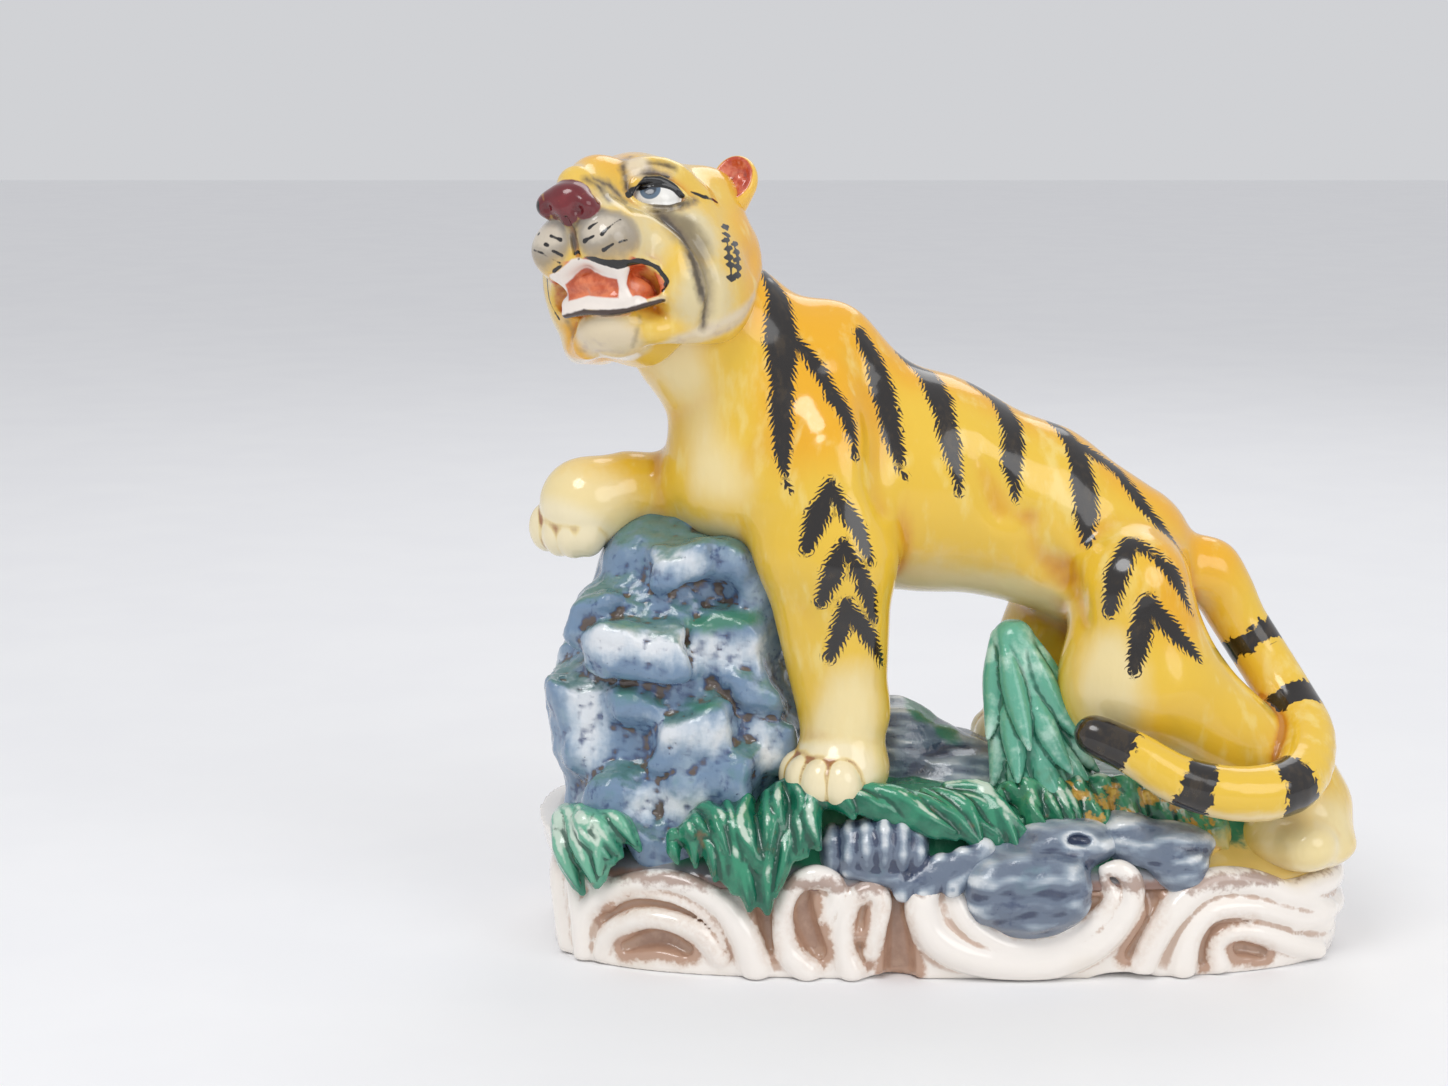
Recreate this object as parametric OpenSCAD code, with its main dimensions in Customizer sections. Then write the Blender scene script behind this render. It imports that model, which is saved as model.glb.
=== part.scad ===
// Glazed ceramic tiger leaning on a crag, on an oval plinth with scroll mouldings.
// Each cast section is luted to the next with slip, so every seat is coped to the piece below it.
// X runs along the plinth with the head at -X, the front faces -Y and the table is Z = 0.

/* [Plinth] */
// Length of the plinth wall at its widest, without scrolls
plinth_l = 256; // [240:1:290]
// Depth of the plinth wall at its widest, without scrolls
plinth_w = 110; // [100:1:130]
// Height of the flat deck above the table
plinth_h = 28; // [24:1:36]
// Thickness of the cast plinth wall
plinth_wall = 7; // [5:0.5:10]
// How far the wall swells between foot and deck
plinth_swell = 4; // [2:0.5:7]
// Half thickness of the boldest scroll roll
scroll_r = 5.2; // [3.5:0.1:6]

/* [Ground] */
// Height of the ground at its rolled rim
rim_h = 7; // [5:0.5:10]
// Further rise of the ground at its middle
ground_rise = 19; // [14:0.5:23]

/* [Crag] */
// Height of the crag above the deck
crag_h = 110; // [100:1:118]
// Width of the crag along the plinth
crag_w = 84; // [76:1:92]
// Depth of the crag from front to back
crag_d = 74; // [66:1:82]
// Distance of the crag's middle from the plinth's end
crag_inset = 39; // [34:1:46]

/* [Stones] */
// Length of the large stone in the cradle scroll
cradle_stone_l = 44; // [36:1:50]
// Length of the ribbed stone beside the forepaw
ribbed_stone_l = 36; // [28:1:42]
// Length of the low stone at the right
low_stone_l = 36; // [28:1:42]
// Height of the boulder behind the forepaw
back_boulder_h = 38; // [30:1:44]

/* [Plants] */
// Width of one grass blade
blade_w = 5; // [3.5:0.1:6]
// Thickness of one grass blade at its ridge
blade_t = 2.6; // [1.6:0.1:3.6]
// Girth of the leafy prop under the belly
prop_d = 30; // [24:0.5:36]

/* [Tiger] */
// Height of the shoulders above the deck
shoulder_h = 179; // [172:1:186]
// Depth of the chest
chest_d = 72; // [66:1:78]
// Depth of the barrel behind the chest
barrel_d = 70; // [64:1:76]
// Depth of the loin
loin_d = 58; // [53:1:63]
// Depth of the rump
rump_d = 51; // [46:1:56]
// Girth of the neck where it enters the head
neck_d = 48; // [42:1:54]
// Girth of a foreleg at the elbow
elbow_d = 30; // [26:0.5:34]
// Girth of a foreleg at the wrist
wrist_d = 23; // [19:0.5:26]
// Width of a forepaw
paw_w = 32; // [27:0.5:36]
// Girth of the near thigh
thigh_d = 46; // [40:0.5:50]
// Girth of a hind leg at the hock
hock_d = 27; // [23:0.5:30]
// Girth of the tail
tail_d = 17; // [13:0.5:19]

/* [Head] */
// Width of the skull across the cheeks
head_w = 66; // [60:0.5:70]
// Length of the muzzle ahead of the eyes
muzzle_l = 23; // [19:0.5:26]
// Height of the open mouth
gape = 15; // [11:0.5:18]
// Depth of the mouth's recess behind the lips
mouth_depth = 6; // [4:0.5:8]
// Turn of the head towards the front, from the viewer's side
head_turn = 31; // [24:1:40]
// Lift of the head
head_lift = 26; // [20:1:32]
// Lean of the head to one side
head_lean = 13; // [6:1:18]
// Diameter of an ear
ear_d = 16; // [13:0.5:19]

/* [Fit] */
// Thickness of the slip behind a moulding or a blade
slip = 0.3; // [0.2:0.05:0.4]
// Thickness of the slip in a curved seat
seat_slip = 0.7; // [0.6:0.05:0.8]

/* [Hidden] */

// Exponent of the plinth's plan, between an ellipse and a rectangle
plan_power = 3.2;
plan_sides = 48;
plinth_rings = 6;
swell_z = 0.55 * plinth_h;
// The deck's half sizes, where the ground begins
deck_x = plinth_l / 2 + bulge(plinth_h);
deck_y = plinth_w / 2 + bulge(plinth_h);
crag_x = crag_inset - plinth_l / 2;

glaze_white = [0.94, 0.91, 0.87];
glaze_green = [0.16, 0.55, 0.40];
glaze_blue = [0.40, 0.48, 0.66];
glaze_yellow = [0.95, 0.78, 0.25];
glaze_red = [0.80, 0.38, 0.25];

// Small helpers for numbers and paths
function unit(v) = v / norm(v);
function clamp(x, low = 0, high = 1) = max(low, min(high, x));
function ease(x) = let (t = clamp(x)) t * t * (3 - 2 * t);
function signed_power(x, n) = sign(x) * pow(abs(x), n);
function bend(a, b, c, d, t) =
    0.5 * (2 * b + (c - a) * t + (2 * a - 5 * b + 4 * c - d) * t * t + (3 * b - a - 3 * c + d) * t * t * t);
function smooth_path(points, steps) = let (last = len(points) - 1) concat(
    [for (i = [0 : last - 1], j = [0 : steps - 1])
        bend(points[max(i - 1, 0)], points[i], points[i + 1], points[min(i + 2, last)], j / steps)],
    [points[last]]);

// Closed skin over rings of equal count, with a pole at each end
module skin(first_pole, rings, last_pole) {
    count = len(rings[0]);
    rows = len(rings);
    last = rows * count + 1;
    points = concat([first_pole], [for (ring = rings, p = ring) p], [last_pole]);
    sides = [for (i = [0 : rows - 2], j = [0 : count - 1]) let (
        a = 1 + i * count + j,
        b = 1 + i * count + (j + 1) % count) each [[a, a + count, b], [b, a + count, b + count]]];
    first_end = [for (j = [0 : count - 1]) [0, 1 + j, 1 + (j + 1) % count]];
    last_end = [for (j = [0 : count - 1])
        [last, last - count + (j + 1) % count, last - count + j]];
    polyhedron(points, concat(first_end, sides, last_end));
}
function middle(ring) = [for (i = [0 : 2]) [for (p = ring) p[i]] * [for (p = ring) 1] / len(ring)];

// Soft bodies: a ball is [centre, radii, blend], a ledge is [centre, half sizes, edge, blend]
// and a limb is [start, radius, end, radius, blend]
function ball_at(p, m) = let (
    q = p - m[0],
    a = [q.x / m[1].x, q.y / m[1].y, q.z / m[1].z],
    k0 = norm(a),
    k1 = norm([a.x / m[1].x, a.y / m[1].y, a.z / m[1].z]))
    k1 < 0.0001 ? -min(m[1]) : k0 * (k0 - 1) / k1;
function limb_at(p, m) = let (
    run = m[2] - m[0],
    t = clamp((p - m[0]) * run / (run * run)))
    norm(p - m[0] - t * run) - m[1] - t * (m[3] - m[1]);
function ledge_at(p, m) = let (
    q = [for (i = [0 : 2]) abs(p[i] - m[0][i]) - m[1][i] + m[2]])
    norm([for (v = q) max(v, 0)]) + min(max(q), 0) - m[2];
function muscle_at(p, m) = len(m) == 3 ? ball_at(p, m) : len(m) == 4 ? ledge_at(p, m) : limb_at(p, m);
function soft_min(a, b, k) = let (h = max(k - abs(a - b), 0) / k) min(a, b) - h * h * k / 4;
function flesh(p, muscles, i = 0, d = 1000) = i == len(muscles) ? d :
    flesh(p, muscles, i + 1, soft_min(d, muscle_at(p, muscles[i]), muscles[i][len(muscles[i]) - 1]));
// A body coped to what carries it, with the slip left between them
function coped(own, carriers) = max(own, seat_slip - min(carriers));

// Distance along a ray, found from outside inwards, at which the body's skin lies
function skin_at(body, from, ray, reach) = let (d = body(from + reach * ray))
    d < 0.03 || reach < 0.4 ? max(reach, 0.4) :
    skin_at(body, from, ray, reach - max(0.85 * d, 0.06));
function hit(body, from, ray, reach) = from + skin_at(body, from, ray, reach) * ray;

// One closed skin round a spine, with domed ends
module wrap(spine, across, sides, domes, reach, body, front_domes = 0) {
    last = len(spine) - 1;
    ends = front_domes > 0 ? front_domes : domes;
    run = [for (i = [0 : last]) unit(spine[min(i + 1, last)] - spine[max(i - 1, 0)])];
    stations = concat(
        [for (j = [domes - 1 : -1 : 1]) [0, -90 * j / domes]],
        [for (i = [0 : last]) [i, 0]],
        [for (j = [1 : ends - 1]) [last, 90 * j / ends]]);
    rings = [for (s = stations) let (
        u = unit(cross(run[s[0]], across)),
        v = cross(run[s[0]], u))
        [for (j = [0 : sides - 1]) let (
            turn = 360 * j / sides,
            ray = cos(s[1]) * (cos(turn) * u + sin(turn) * v) + sin(s[1]) * run[s[0]])
            hit(body, spine[s[0]], ray, reach)]];
    skin(hit(body, spine[0], -run[0], reach), rings, hit(body, spine[last], run[last], reach));
}

// Plinth wall: a plan that swells between foot and deck
function bulge(z) = -plinth_swell * pow((z - swell_z) / swell_z, 2);
function plan(turn, x, y) = [
    x * signed_power(cos(turn), 2 / plan_power),
    y * signed_power(sin(turn), 2 / plan_power)];
function wall_at(turn, z) = concat(plan(turn, plinth_l / 2 + bulge(z), plinth_w / 2 + bulge(z)), z);
function plan_share(p, x, y) =
    pow(pow(abs(p.x) / x, plan_power) + pow(abs(p.y) / y, plan_power), 1 / plan_power);
// The turn at which the wall's front lies at a share of its half length
function front_turn(share) = -acos(signed_power(clamp(share, -1, 1), plan_power / 2));

// Heights above the deck
function ground_at(x, y) = let (s = plan_share([x, y], deck_x, deck_y))
    rim_h * sqrt(max(0, 1 - pow(s, 14))) + ground_rise * ease((1 - s) / 0.5);
function ground_body(p) = max(0.8 * (p.z - ground_at(p.x, p.y)),
    deck_y * (plan_share(p, deck_x, deck_y) - 1));
function plinth_body(p) = let (z = clamp(p.z + plinth_h, 0, plinth_h)) max(p.z,
    0.8 * plinth_w / 2 * (plan_share(p, plinth_l / 2 + bulge(z), plinth_w / 2 + bulge(z)) - 1));
function base_body(p) = min(ground_body(p), plinth_body(p));

// Crag: ledges stacked on a core of lumps, written as shares of its own three sizes
function crag_point(x, y, z) = [crag_x + x * crag_w, y * crag_d - 4, z * crag_h];
function crag_lump(x, y, z, rx, ry, rz, k) =
    [crag_point(x, y, z), [rx * crag_w, ry * crag_d, rz * crag_h], k];
function crag_ledge(x, y, z, rx, ry, rz) =
    [crag_point(x, y, z), [rx * crag_w, ry * crag_d, rz * crag_h], 0.055 * crag_w, 2.6];
crag_lumps = [
    crag_lump(0.00, 0.02, 0.36, 0.38, 0.40, 0.44, 4),
    crag_lump(-0.02, 0.06, 0.76, 0.32, 0.33, 0.24, 5),
    crag_lump(-0.24, -0.02, 0.42, 0.23, 0.28, 0.24, 4),
    crag_lump(0.30, -0.02, 0.40, 0.22, 0.30, 0.30, 4),
    crag_lump(-0.20, -0.06, 0.17, 0.20, 0.27, 0.17, 4),
    crag_lump(0.06, -0.16, 0.20, 0.32, 0.22, 0.20, 4),
    crag_lump(0.20, 0.24, 0.30, 0.30, 0.26, 0.28, 4),
    crag_lump(-0.18, 0.26, 0.40, 0.26, 0.24, 0.24, 4),
    crag_lump(0.02, 0.12, 0.62, 0.36, 0.30, 0.20, 6),
    crag_lump(0.32, -0.06, 0.68, 0.15, 0.22, 0.22, 5),
    crag_lump(0.26, -0.06, 0.84, 0.14, 0.20, 0.12, 5),
    crag_ledge(0.00, -0.20, 0.89, 0.11, 0.15, 0.06),
    crag_ledge(-0.10, -0.23, 0.67, 0.19, 0.20, 0.09),
    crag_ledge(0.25, -0.16, 0.64, 0.15, 0.19, 0.09),
    crag_ledge(-0.345, -0.09, 0.445, 0.11, 0.18, 0.14),
    crag_ledge(0.05, -0.27, 0.41, 0.14, 0.20, 0.08),
    crag_ledge(0.37, -0.20, 0.36, 0.08, 0.16, 0.09),
    crag_ledge(-0.14, -0.28, 0.24, 0.15, 0.16, 0.08),
    crag_ledge(0.18, -0.32, 0.25, 0.17, 0.16, 0.10),
    crag_ledge(0.02, -0.36, 0.11, 0.19, 0.14, 0.07),
    crag_ledge(-0.30, -0.16, 0.76, 0.09, 0.16, 0.08),
    crag_ledge(0.17, -0.18, 0.87, 0.10, 0.14, 0.055),
    crag_ledge(-0.25, 0.24, 0.55, 0.17, 0.19, 0.11),
    crag_ledge(0.15, 0.30, 0.65, 0.18, 0.18, 0.09),
    crag_ledge(-0.04, 0.38, 0.36, 0.19, 0.12, 0.11),
    crag_ledge(-0.30, 0.27, 0.24, 0.13, 0.16, 0.09),
    crag_ledge(-0.08, 0.24, 0.84, 0.15, 0.18, 0.07)];
// The courses of the rock sway
function crag_sway(p) = p + [
    2.4 * sin(6.6 * p.z + 3.4 * p.y + 57) + 1.2 * sin(12 * p.y + 5.7 * p.z),
    1.6 * sin(6.9 * p.x + 5.2 * p.z) + 0.8 * sin(17 * p.x + 115),
    3 * sin(4.9 * p.x + 4 * p.y) + 1.4 * sin(11.5 * p.x + 29)];
function crag_body(p) = coped(flesh(crag_sway(p), crag_lumps), [ground_body(p)]);

// Stones round the crag and along the front
cradle_stone_at = [23, 4 - plinth_w / 2, -4];
ribbed_stone_at = [-22, 9 - plinth_w / 2, 13];
low_stone_at = [65, 13 - plinth_w / 2, 12];
back_boulder_at = [2, 6, ground_rise + rim_h];
cradle_stone_lumps = [
    [cradle_stone_at, [cradle_stone_l / 2, 12, 14], 4],
    [cradle_stone_at + [-4, 8, 9], [cradle_stone_l / 2.6, 12, 8], 4]];
ribbed_stone_lumps = [for (i = [-2 : 2])
    [ribbed_stone_at + [i * ribbed_stone_l / 7, 0.6 * i * i, -0.6 * i * i],
        [ribbed_stone_l / 7, 10, 11], 1.5]];
low_stone_lumps = [
    [low_stone_at, [low_stone_l / 2, 10, 8], 4],
    [low_stone_at + [-10, 2, 4], [low_stone_l / 4, 9, 7], 3]];
back_boulder_lumps = [
    [back_boulder_at + [-16, 0, 0], [14, 16, back_boulder_h - 8], 5],
    [back_boulder_at, [28, 18, 0.7 * back_boulder_h], 5],
    [back_boulder_at + [18, -4, -2], [16, 13, 0.45 * back_boulder_h], 4]];

// Tiger's joints above the deck; paws follow the ground and the crag
drop = shoulder_h - 179;
rump_at = [56, 4, 96 + drop];
loin_at = [27, 4, 111 + drop];
barrel_at = [-8, 3, 121 + drop];
chest_at = [-42, 2, 131 + drop];
withers_at = [-37, 2, 131 + drop];
brisket_at = [-64, -2, 126 + drop];
neck_root = [-57, 0, 150 + drop];
neck_end = [-77, -2, 171 + drop];
shoulder_at = [-39, -23, 122 + drop];
head_at = [-98, -8, 193 + drop];

// The trunk is deeper than it is wide
trunk_squeeze = 1.22;
trunk_muscles = [
    [rump_at, rump_d / 2, loin_at, loin_d / 2, 4],
    [loin_at, loin_d / 2, barrel_at, barrel_d / 2, 4],
    [barrel_at, barrel_d / 2, chest_at, chest_d / 2, 4],
    [withers_at, [23, 22, shoulder_h - withers_at.z], 12],
    [brisket_at, [27, 31, 27], 10],
    [neck_root, 0.65 * neck_d, neck_end, neck_d / 2, 12]];
shoulder_muscles = [
    [shoulder_at, [17, 17, 27], 10],
    [shoulder_at + [-2, 46, 4], [17, 15, 24], 10]];
function squeezed(p) = [p.x, barrel_at.y + (p.y - barrel_at.y) * trunk_squeeze, p.z];
function trunk_body(p) = soft_min(flesh(squeezed(p), trunk_muscles) / trunk_squeeze,
    flesh(p, shoulder_muscles), 12);
function torso_body(p) = coped(trunk_body(p), [crag_body(p), head_body(p)]);

// Head in its own frame: x ahead, y to its left, z up
head_ahead = [-sin(head_turn) * cos(head_lift), -cos(head_turn) * cos(head_lift), sin(head_lift)];
head_side0 = [cos(head_turn), -sin(head_turn), 0];
head_up0 = -cross(head_ahead, head_side0) * sign(-cross(head_ahead, head_side0).z);
head_side = cos(head_lean) * head_side0 + sin(head_lean) * head_up0;
head_up = cos(head_lean) * head_up0 - sin(head_lean) * head_side0;
function in_head(p) = let (q = p - head_at) [q * head_ahead, q * head_side, q * head_up];
function from_head(q) = head_at + q.x * head_ahead + q.y * head_side + q.z * head_up;
muzzle_x = 18 + muzzle_l;
function pair(x, y, z, r, k, shift = 0) = [for (s = [-1, 1]) [[x, s * y + shift, z], r, k]];
// The cheeks are fuller on the near side
cheek_shift = 0.03 * head_w;
skull_muscles = concat(
    [[[-4, 0, 8], [29, 0.42 * head_w, 26.8], 1]],
    pair(2, 0.285 * head_w, -11, [21, 0.17 * head_w, 18.5], 10, cheek_shift),
    pair(-8, 0.335 * head_w, -11, [13, 0.12 * head_w, 15], 8, cheek_shift),
    pair(-15, 0.32 * head_w, 8, [12, 9, 12], 6, cheek_shift / 2),
    pair(13, 10.5, 18.5, [10, 9, 8], 6),
    // Crown, bridge of the nose and muzzle
    [[[-12, -13, 21], 11.5, [-12, 15, 22.5], 12, 6]],
    [[[10, 0, 21.2], 10.4, [muzzle_x - 1, -0.5, 8.4], 6.4, 7]],
    [[[6, 0, 0], 18, [muzzle_x - 9, 0, -3], 11.5, 7]],
    [for (s = [-1, 1]) [[muzzle_x - 10, 8.5 * s, -4], 7.5, [12, 15.5 * s, -6], 11, 5]],
    [[[muzzle_x - 19, 0, -15], [15, 17, 9], 5]],
    // Lower jaw and chin
    [[[0, 0, -21], 14, [muzzle_x - 29, 0.5, -15 - 0.77 * gape], 9.5, 8]],
    [[[muzzle_x - 27.5, -0.6, -15 - 0.93 * gape], [10.5, 12.4, 7.4], 3]],
    // Rolled edge of the ruff
    [for (s = [-1, 1]) each [
        [[12, 12.5 * s, -31.5], 3.5, [2, 20 * s, -27], 4.5, 5],
        [[2, 20 * s, -27], 4.5, [-8, 25 * s + 1, -19], 4.8, 5],
        [[-8, 25 * s + 1, -19], 4.8, [-15, 27 * s + 1, -8.5], 4.6, 5],
        [[-15, 27 * s + 1, -8.5], 4.6, [-21, 25 * s + 1, 4], 3.8, 5]]]);
// Pads, nose, eyes and brows lie over the open mouth
face_muscles = concat(
    pair(muzzle_x - 7.5, 8.5, -9.4, [9.6, 8.8, 8.6], 2.5, -0.3),
    [[[muzzle_x + 3.4, -1.4, 2], [5.8, 7.8, 5.4], 2.5]],
    [[[muzzle_x + 2.2, 4.8, -0.8], [4.4, 3.8, 3.6], 2]],
    [[[muzzle_x + 4.4, -7.4, 0.8], [3.6, 3.4, 3.6], 2.5]],
    pair(15.8, 12.2, 10.8, [8.2, 9.2, 7.2], 1),
    [for (s = [-1, 1]) each [
        [[27, 6.5 * s, 14], 2, [23.5, 12 * s, 19.5], 3.2, 4],
        [[23.5, 12 * s, 19.5], 3.2, [14, 19 * s, 20.5], 3.2, 4],
        [[14, 19 * s, 20.5], 3.2, [5, 23 * s, 16.5], 2, 4]]]);
mouth_at = [muzzle_x - 7, 0.5, -12.7 - gape / 2];
mouth_r = [24.5, 24, gape / 2 - 0.7];
// The mouth is a recess of even depth between the lips
function head_flesh(q) = let (full = flesh(q, skull_muscles))
    flesh(q, face_muscles, 0, min(max(full, -ball_at(q, [mouth_at, mouth_r, 0])), full + mouth_depth));
function head_body(p) = head_flesh(in_head(p));

// Ears: shallow cups on the crown
function ear_at(side) = [-13 - side, side * 0.356 * head_w + 1.5, 29];
function ear_flesh(q, side) = let (c = ear_at(side)) max(
    soft_min(ball_at(q, [c, [5, ear_d / 2 - 0.4, ear_d / 2 + 1], 0]),
        ball_at(q, [c + [-1, -4 * side, -7], [6, 7, 6], 0]), 4),
    -ball_at(q, [c + [4.4, side, 0.6], [4.6, ear_d / 2 - 2.4, ear_d / 2 - 1.2], 0]));
function ear_body(p, side) = coped(ear_flesh(in_head(p), side), [head_body(p)]);

// A paw: a palm with toes fanned about its heading
function paw(at, heading, width) = concat(
    [[at, [0.46 * width, 0.46 * width, 0.36 * width], 5]],
    [for (i = [-1.5 : 1 : 1.5]) let (turn = heading + 27 * i)
        [at + [0.36 * width * cos(turn), 0.36 * width * sin(turn), -0.08 * width],
            [0.19 * width, 0.19 * width, 0.22 * width], 2]]);

// Planted left foreleg
left_elbow = [-34, -29, 100 + drop];
left_wrist = [-32, -28, 52];
left_paw_xy = [-35, -31];
left_paw = concat(left_paw_xy, ground_at(left_paw_xy.x, left_paw_xy.y) + 0.26 * paw_w);
left_fore_muscles = concat([
    [left_elbow + [-13, 5, 2], 0.46 * elbow_d, left_wrist + [-7, 2, -3], 0.30 * elbow_d, 6],
    [shoulder_at + [3, -4, -16], elbow_d / 2, left_elbow, elbow_d / 2, 6],
    [left_elbow, elbow_d / 2, left_wrist, wrist_d / 2, 6],
    [left_wrist, wrist_d / 2, left_paw, wrist_d / 2, 6]], paw(left_paw, 225, paw_w));
function left_fore_body(p) = let (trunk = trunk_body(p))
    coped(soft_min(flesh(p, left_fore_muscles), trunk, 4), [trunk, ground_body(p), crag_body(p)]);

// Right foreleg laid over the top of the crag
right_elbow = [-82, 12, crag_h + 5];
right_wrist = [-104, 7, crag_h + 8];
right_paw = [crag_x - 0.33 * crag_w, 2, crag_h + 4];
right_toes = right_paw + [-7, -6, -9];
right_fore_muscles = concat([
    [[-66, 18, 122 + drop], 0.58 * elbow_d, right_elbow, 0.44 * elbow_d, 6],
    [right_elbow, 0.44 * elbow_d, right_wrist, 0.46 * wrist_d, 6],
    [right_wrist, 0.46 * wrist_d, right_paw, 0.52 * wrist_d, 6],
    [right_paw, [0.46 * paw_w, 0.44 * paw_w, 0.46 * paw_w], 5]],
    [for (i = [-1.5 : 1 : 1.5])
        [right_toes + [4.5 * i, 2.6 * abs(i) - 3.4 * i, 0.6 * abs(i)], [6, 6.5, 8], 2]]);
function right_fore_body(p) = let (trunk = trunk_body(p))
    coped(soft_min(flesh(p, right_fore_muscles), trunk, 4), [trunk, crag_body(p)]);

// Left hind leg, stretched back along the plinth
left_thigh = [62, -17, 62];
left_hock = [112, -16, 26];
left_heel = [119, -14, 17];
left_hind_paw_xy = [108, -28];
left_hind_paw = concat(left_hind_paw_xy, ground_at(left_hind_paw_xy.x, left_hind_paw_xy.y) + 5);
left_hind_muscles = [
    [[58, -19, 90], 0.40 * thigh_d, left_thigh, thigh_d / 2, 8],
    [[51, -21, 60], [15, 15, 19], 8],
    [left_thigh + [4, 0, -6], 0.45 * thigh_d, left_hock, hock_d / 2, 10],
    [left_hock, hock_d / 2, left_heel, 0.46 * hock_d, 5],
    [left_heel, 0.46 * hock_d, left_hind_paw, 0.36 * hock_d, 5],
    [left_hind_paw + [3, -6, -1], [8, 8, 7], 2],
    [left_hind_paw + [-9, -6, 0], [6, 6, 6], 2]];
function left_hind_body(p) = let (trunk = trunk_body(p))
    coped(soft_min(flesh(p, left_hind_muscles), trunk, 4), [trunk, base_body(p)]);

// Right hind leg, standing behind the prop
right_knee = [40, 25, 60];
right_hind_paw_xy = [28, 27];
right_hind_paw =
    concat(right_hind_paw_xy, ground_at(right_hind_paw_xy.x, right_hind_paw_xy.y) + 0.24 * paw_w);
right_hind_muscles = concat([
    [[47, 24, 90 + drop], 0.43 * thigh_d, right_knee, 0.39 * thigh_d, 8],
    [right_knee, 0.39 * thigh_d, right_hind_paw, 0.42 * hock_d, 8]], paw(right_hind_paw, 190, 0.85 * paw_w));
function right_hind_body(p) = let (trunk = trunk_body(p))
    coped(soft_min(flesh(p, right_hind_muscles), trunk, 4),
        [trunk, ground_body(p), flesh(p, back_boulder_lumps), left_hind_body(p)]);

// Tail: a tube that loops down behind and lies along the thigh
tail_points = [
    [87, 4, 92 + drop], [93, 4, 81 + 0.8 * drop], [102, 2, 67 + 0.5 * drop],
    [111, -8, 52], [115, -23, 42], [108, -42, 33], [91, -51, 31],
    [71, -52, 35], [55, -50, 44], [43, -47, 49]];
tail_path = smooth_path(tail_points, 3);
function tail_muscles() = [for (i = [0 : len(tail_path) - 2])
    [tail_path[i], tail_d / 2, tail_path[i + 1], tail_d / 2, 1]];
function tail_flesh(p) = flesh(p, tail_muscles());
function tail_body(p) = let (trunk = trunk_body(p))
    coped(soft_min(tail_flesh(p), trunk, 5), [trunk, left_hind_body(p), base_body(p)]);

// Leafy prop between the ground and the belly
prop_foot = [32, -21, ground_at(32, -21)];
prop_top = [21, -14, 72];
prop_muscles = [
    [prop_foot, 0.62 * prop_d, prop_top, 0.30 * prop_d, 4],
    [prop_foot + [-9, -8, 8], [0.30 * prop_d, 0.26 * prop_d, 0.40 * prop_d], 3],
    [prop_foot + [10, -8, 12], [0.34 * prop_d, 0.28 * prop_d, 0.50 * prop_d], 3],
    [prop_foot + [-3, -6, 28], [0.30 * prop_d, 0.26 * prop_d, 0.46 * prop_d], 3]];
function prop_body(p) = coped(flesh(p, prop_muscles), [ground_body(p), trunk_body(p), left_hind_body(p),
    right_hind_body(p), tail_flesh(p), flesh(p, back_boulder_lumps)]);

// A grass blade laid on the ground from its root to its tip
module blade(root, tip, width, ridge) {
    run = unit(tip - root);
    side = [-run.y, run.x];
    rings = [for (s = [0.05, 0.35, 0.7]) let (
        at = root + s * (tip - root),
        half = width / 2 * (0.45 + 1.6 * s - 1.75 * s * s),
        crest = ridge * (1 - 0.45 * s))
        [for (k = [1, 0, -1]) let (q = at + k * half * side)
            concat(q, ground_at(q.x, q.y) + slip + (k == 0 ? crest : 0))]];
    skin(middle(rings[0]), rings, concat(tip, ground_at(tip.x, tip.y) + slip));
}
module tuft(roots, tips) {
    for (i = [0 : len(roots) - 1]) blade(roots[i], tips[i], blade_w, blade_t);
}

// A scroll: a D-section roll laid on the plinth wall, path points are [turn, height, half thickness]
module scroll(points) {
    path = smooth_path(points, 3);
    last = len(path) - 1;
    seat = [for (q = path) wall_at(q[0], q[1])];
    rings = [for (i = [0 : last]) let (
        out = wall_normal(path[i][0], path[i][1]),
        run = unit(seat[min(i + 1, last)] - seat[max(i - 1, 0)]),
        side = unit(cross(out, run)),
        r = path[i][2])
        [for (j = [0 : 5]) let (turn = 90 - 45 * min(j, 4))
            seat[i] + slip * out + (j == 5 ? 0 : r) * (sin(turn) * side + cos(turn) * out)]];
    skin(middle(rings[0]), rings, middle(rings[last]));
}
function wall_normal(turn, z) = let (
    along = wall_at(turn + 0.5, z) - wall_at(turn - 0.5, z),
    up = wall_at(turn, z + 0.5) - wall_at(turn, z - 0.5)) unit(cross(along, up));
function front_path(points) = [for (q = points) [front_turn(q[0]), q[1] * plinth_h, q[2] * scroll_r]];
function back_path(points) = [for (q = front_path(points)) [-q[0], q[1], q[2]]];

// Scroll routes as shares of the wall's half length, the deck's height and the boldest roll
big_roll = [[-0.91, 0.20, 0.6], [-0.90, 0.62, 0.9], [-0.82, 0.96, 1], [-0.69, 1.08, 1],
    [-0.58, 0.88, 1], [-0.52, 0.54, 0.9], [-0.50, 0.20, 0.6]];
small_roll = [[-0.85, 0.19, 0.5], [-0.825, 0.48, 0.7], [-0.74, 0.64, 0.8],
    [-0.65, 0.55, 0.7], [-0.60, 0.22, 0.5]];
tall_ear = [[-0.38, 0.16, 0.5], [-0.42, 0.55, 0.7], [-0.39, 0.98, 0.8], [-0.33, 1.06, 0.8],
    [-0.29, 0.94, 0.7], [-0.32, 0.74, 0.5]];
short_ear = [[-0.26, 0.16, 0.4], [-0.265, 0.55, 0.6], [-0.24, 0.90, 0.7], [-0.20, 1.00, 0.7],
    [-0.175, 0.86, 0.6], [-0.19, 0.55, 0.4]];
cradle = [[-0.07, 1.04, 0.8], [-0.08, 0.76, 1], [-0.03, 0.42, 1], [0.08, 0.24, 1], [0.22, 0.20, 1],
    [0.34, 0.42, 1], [0.42, 0.78, 0.9], [0.41, 1.12, 0.6]];
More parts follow.
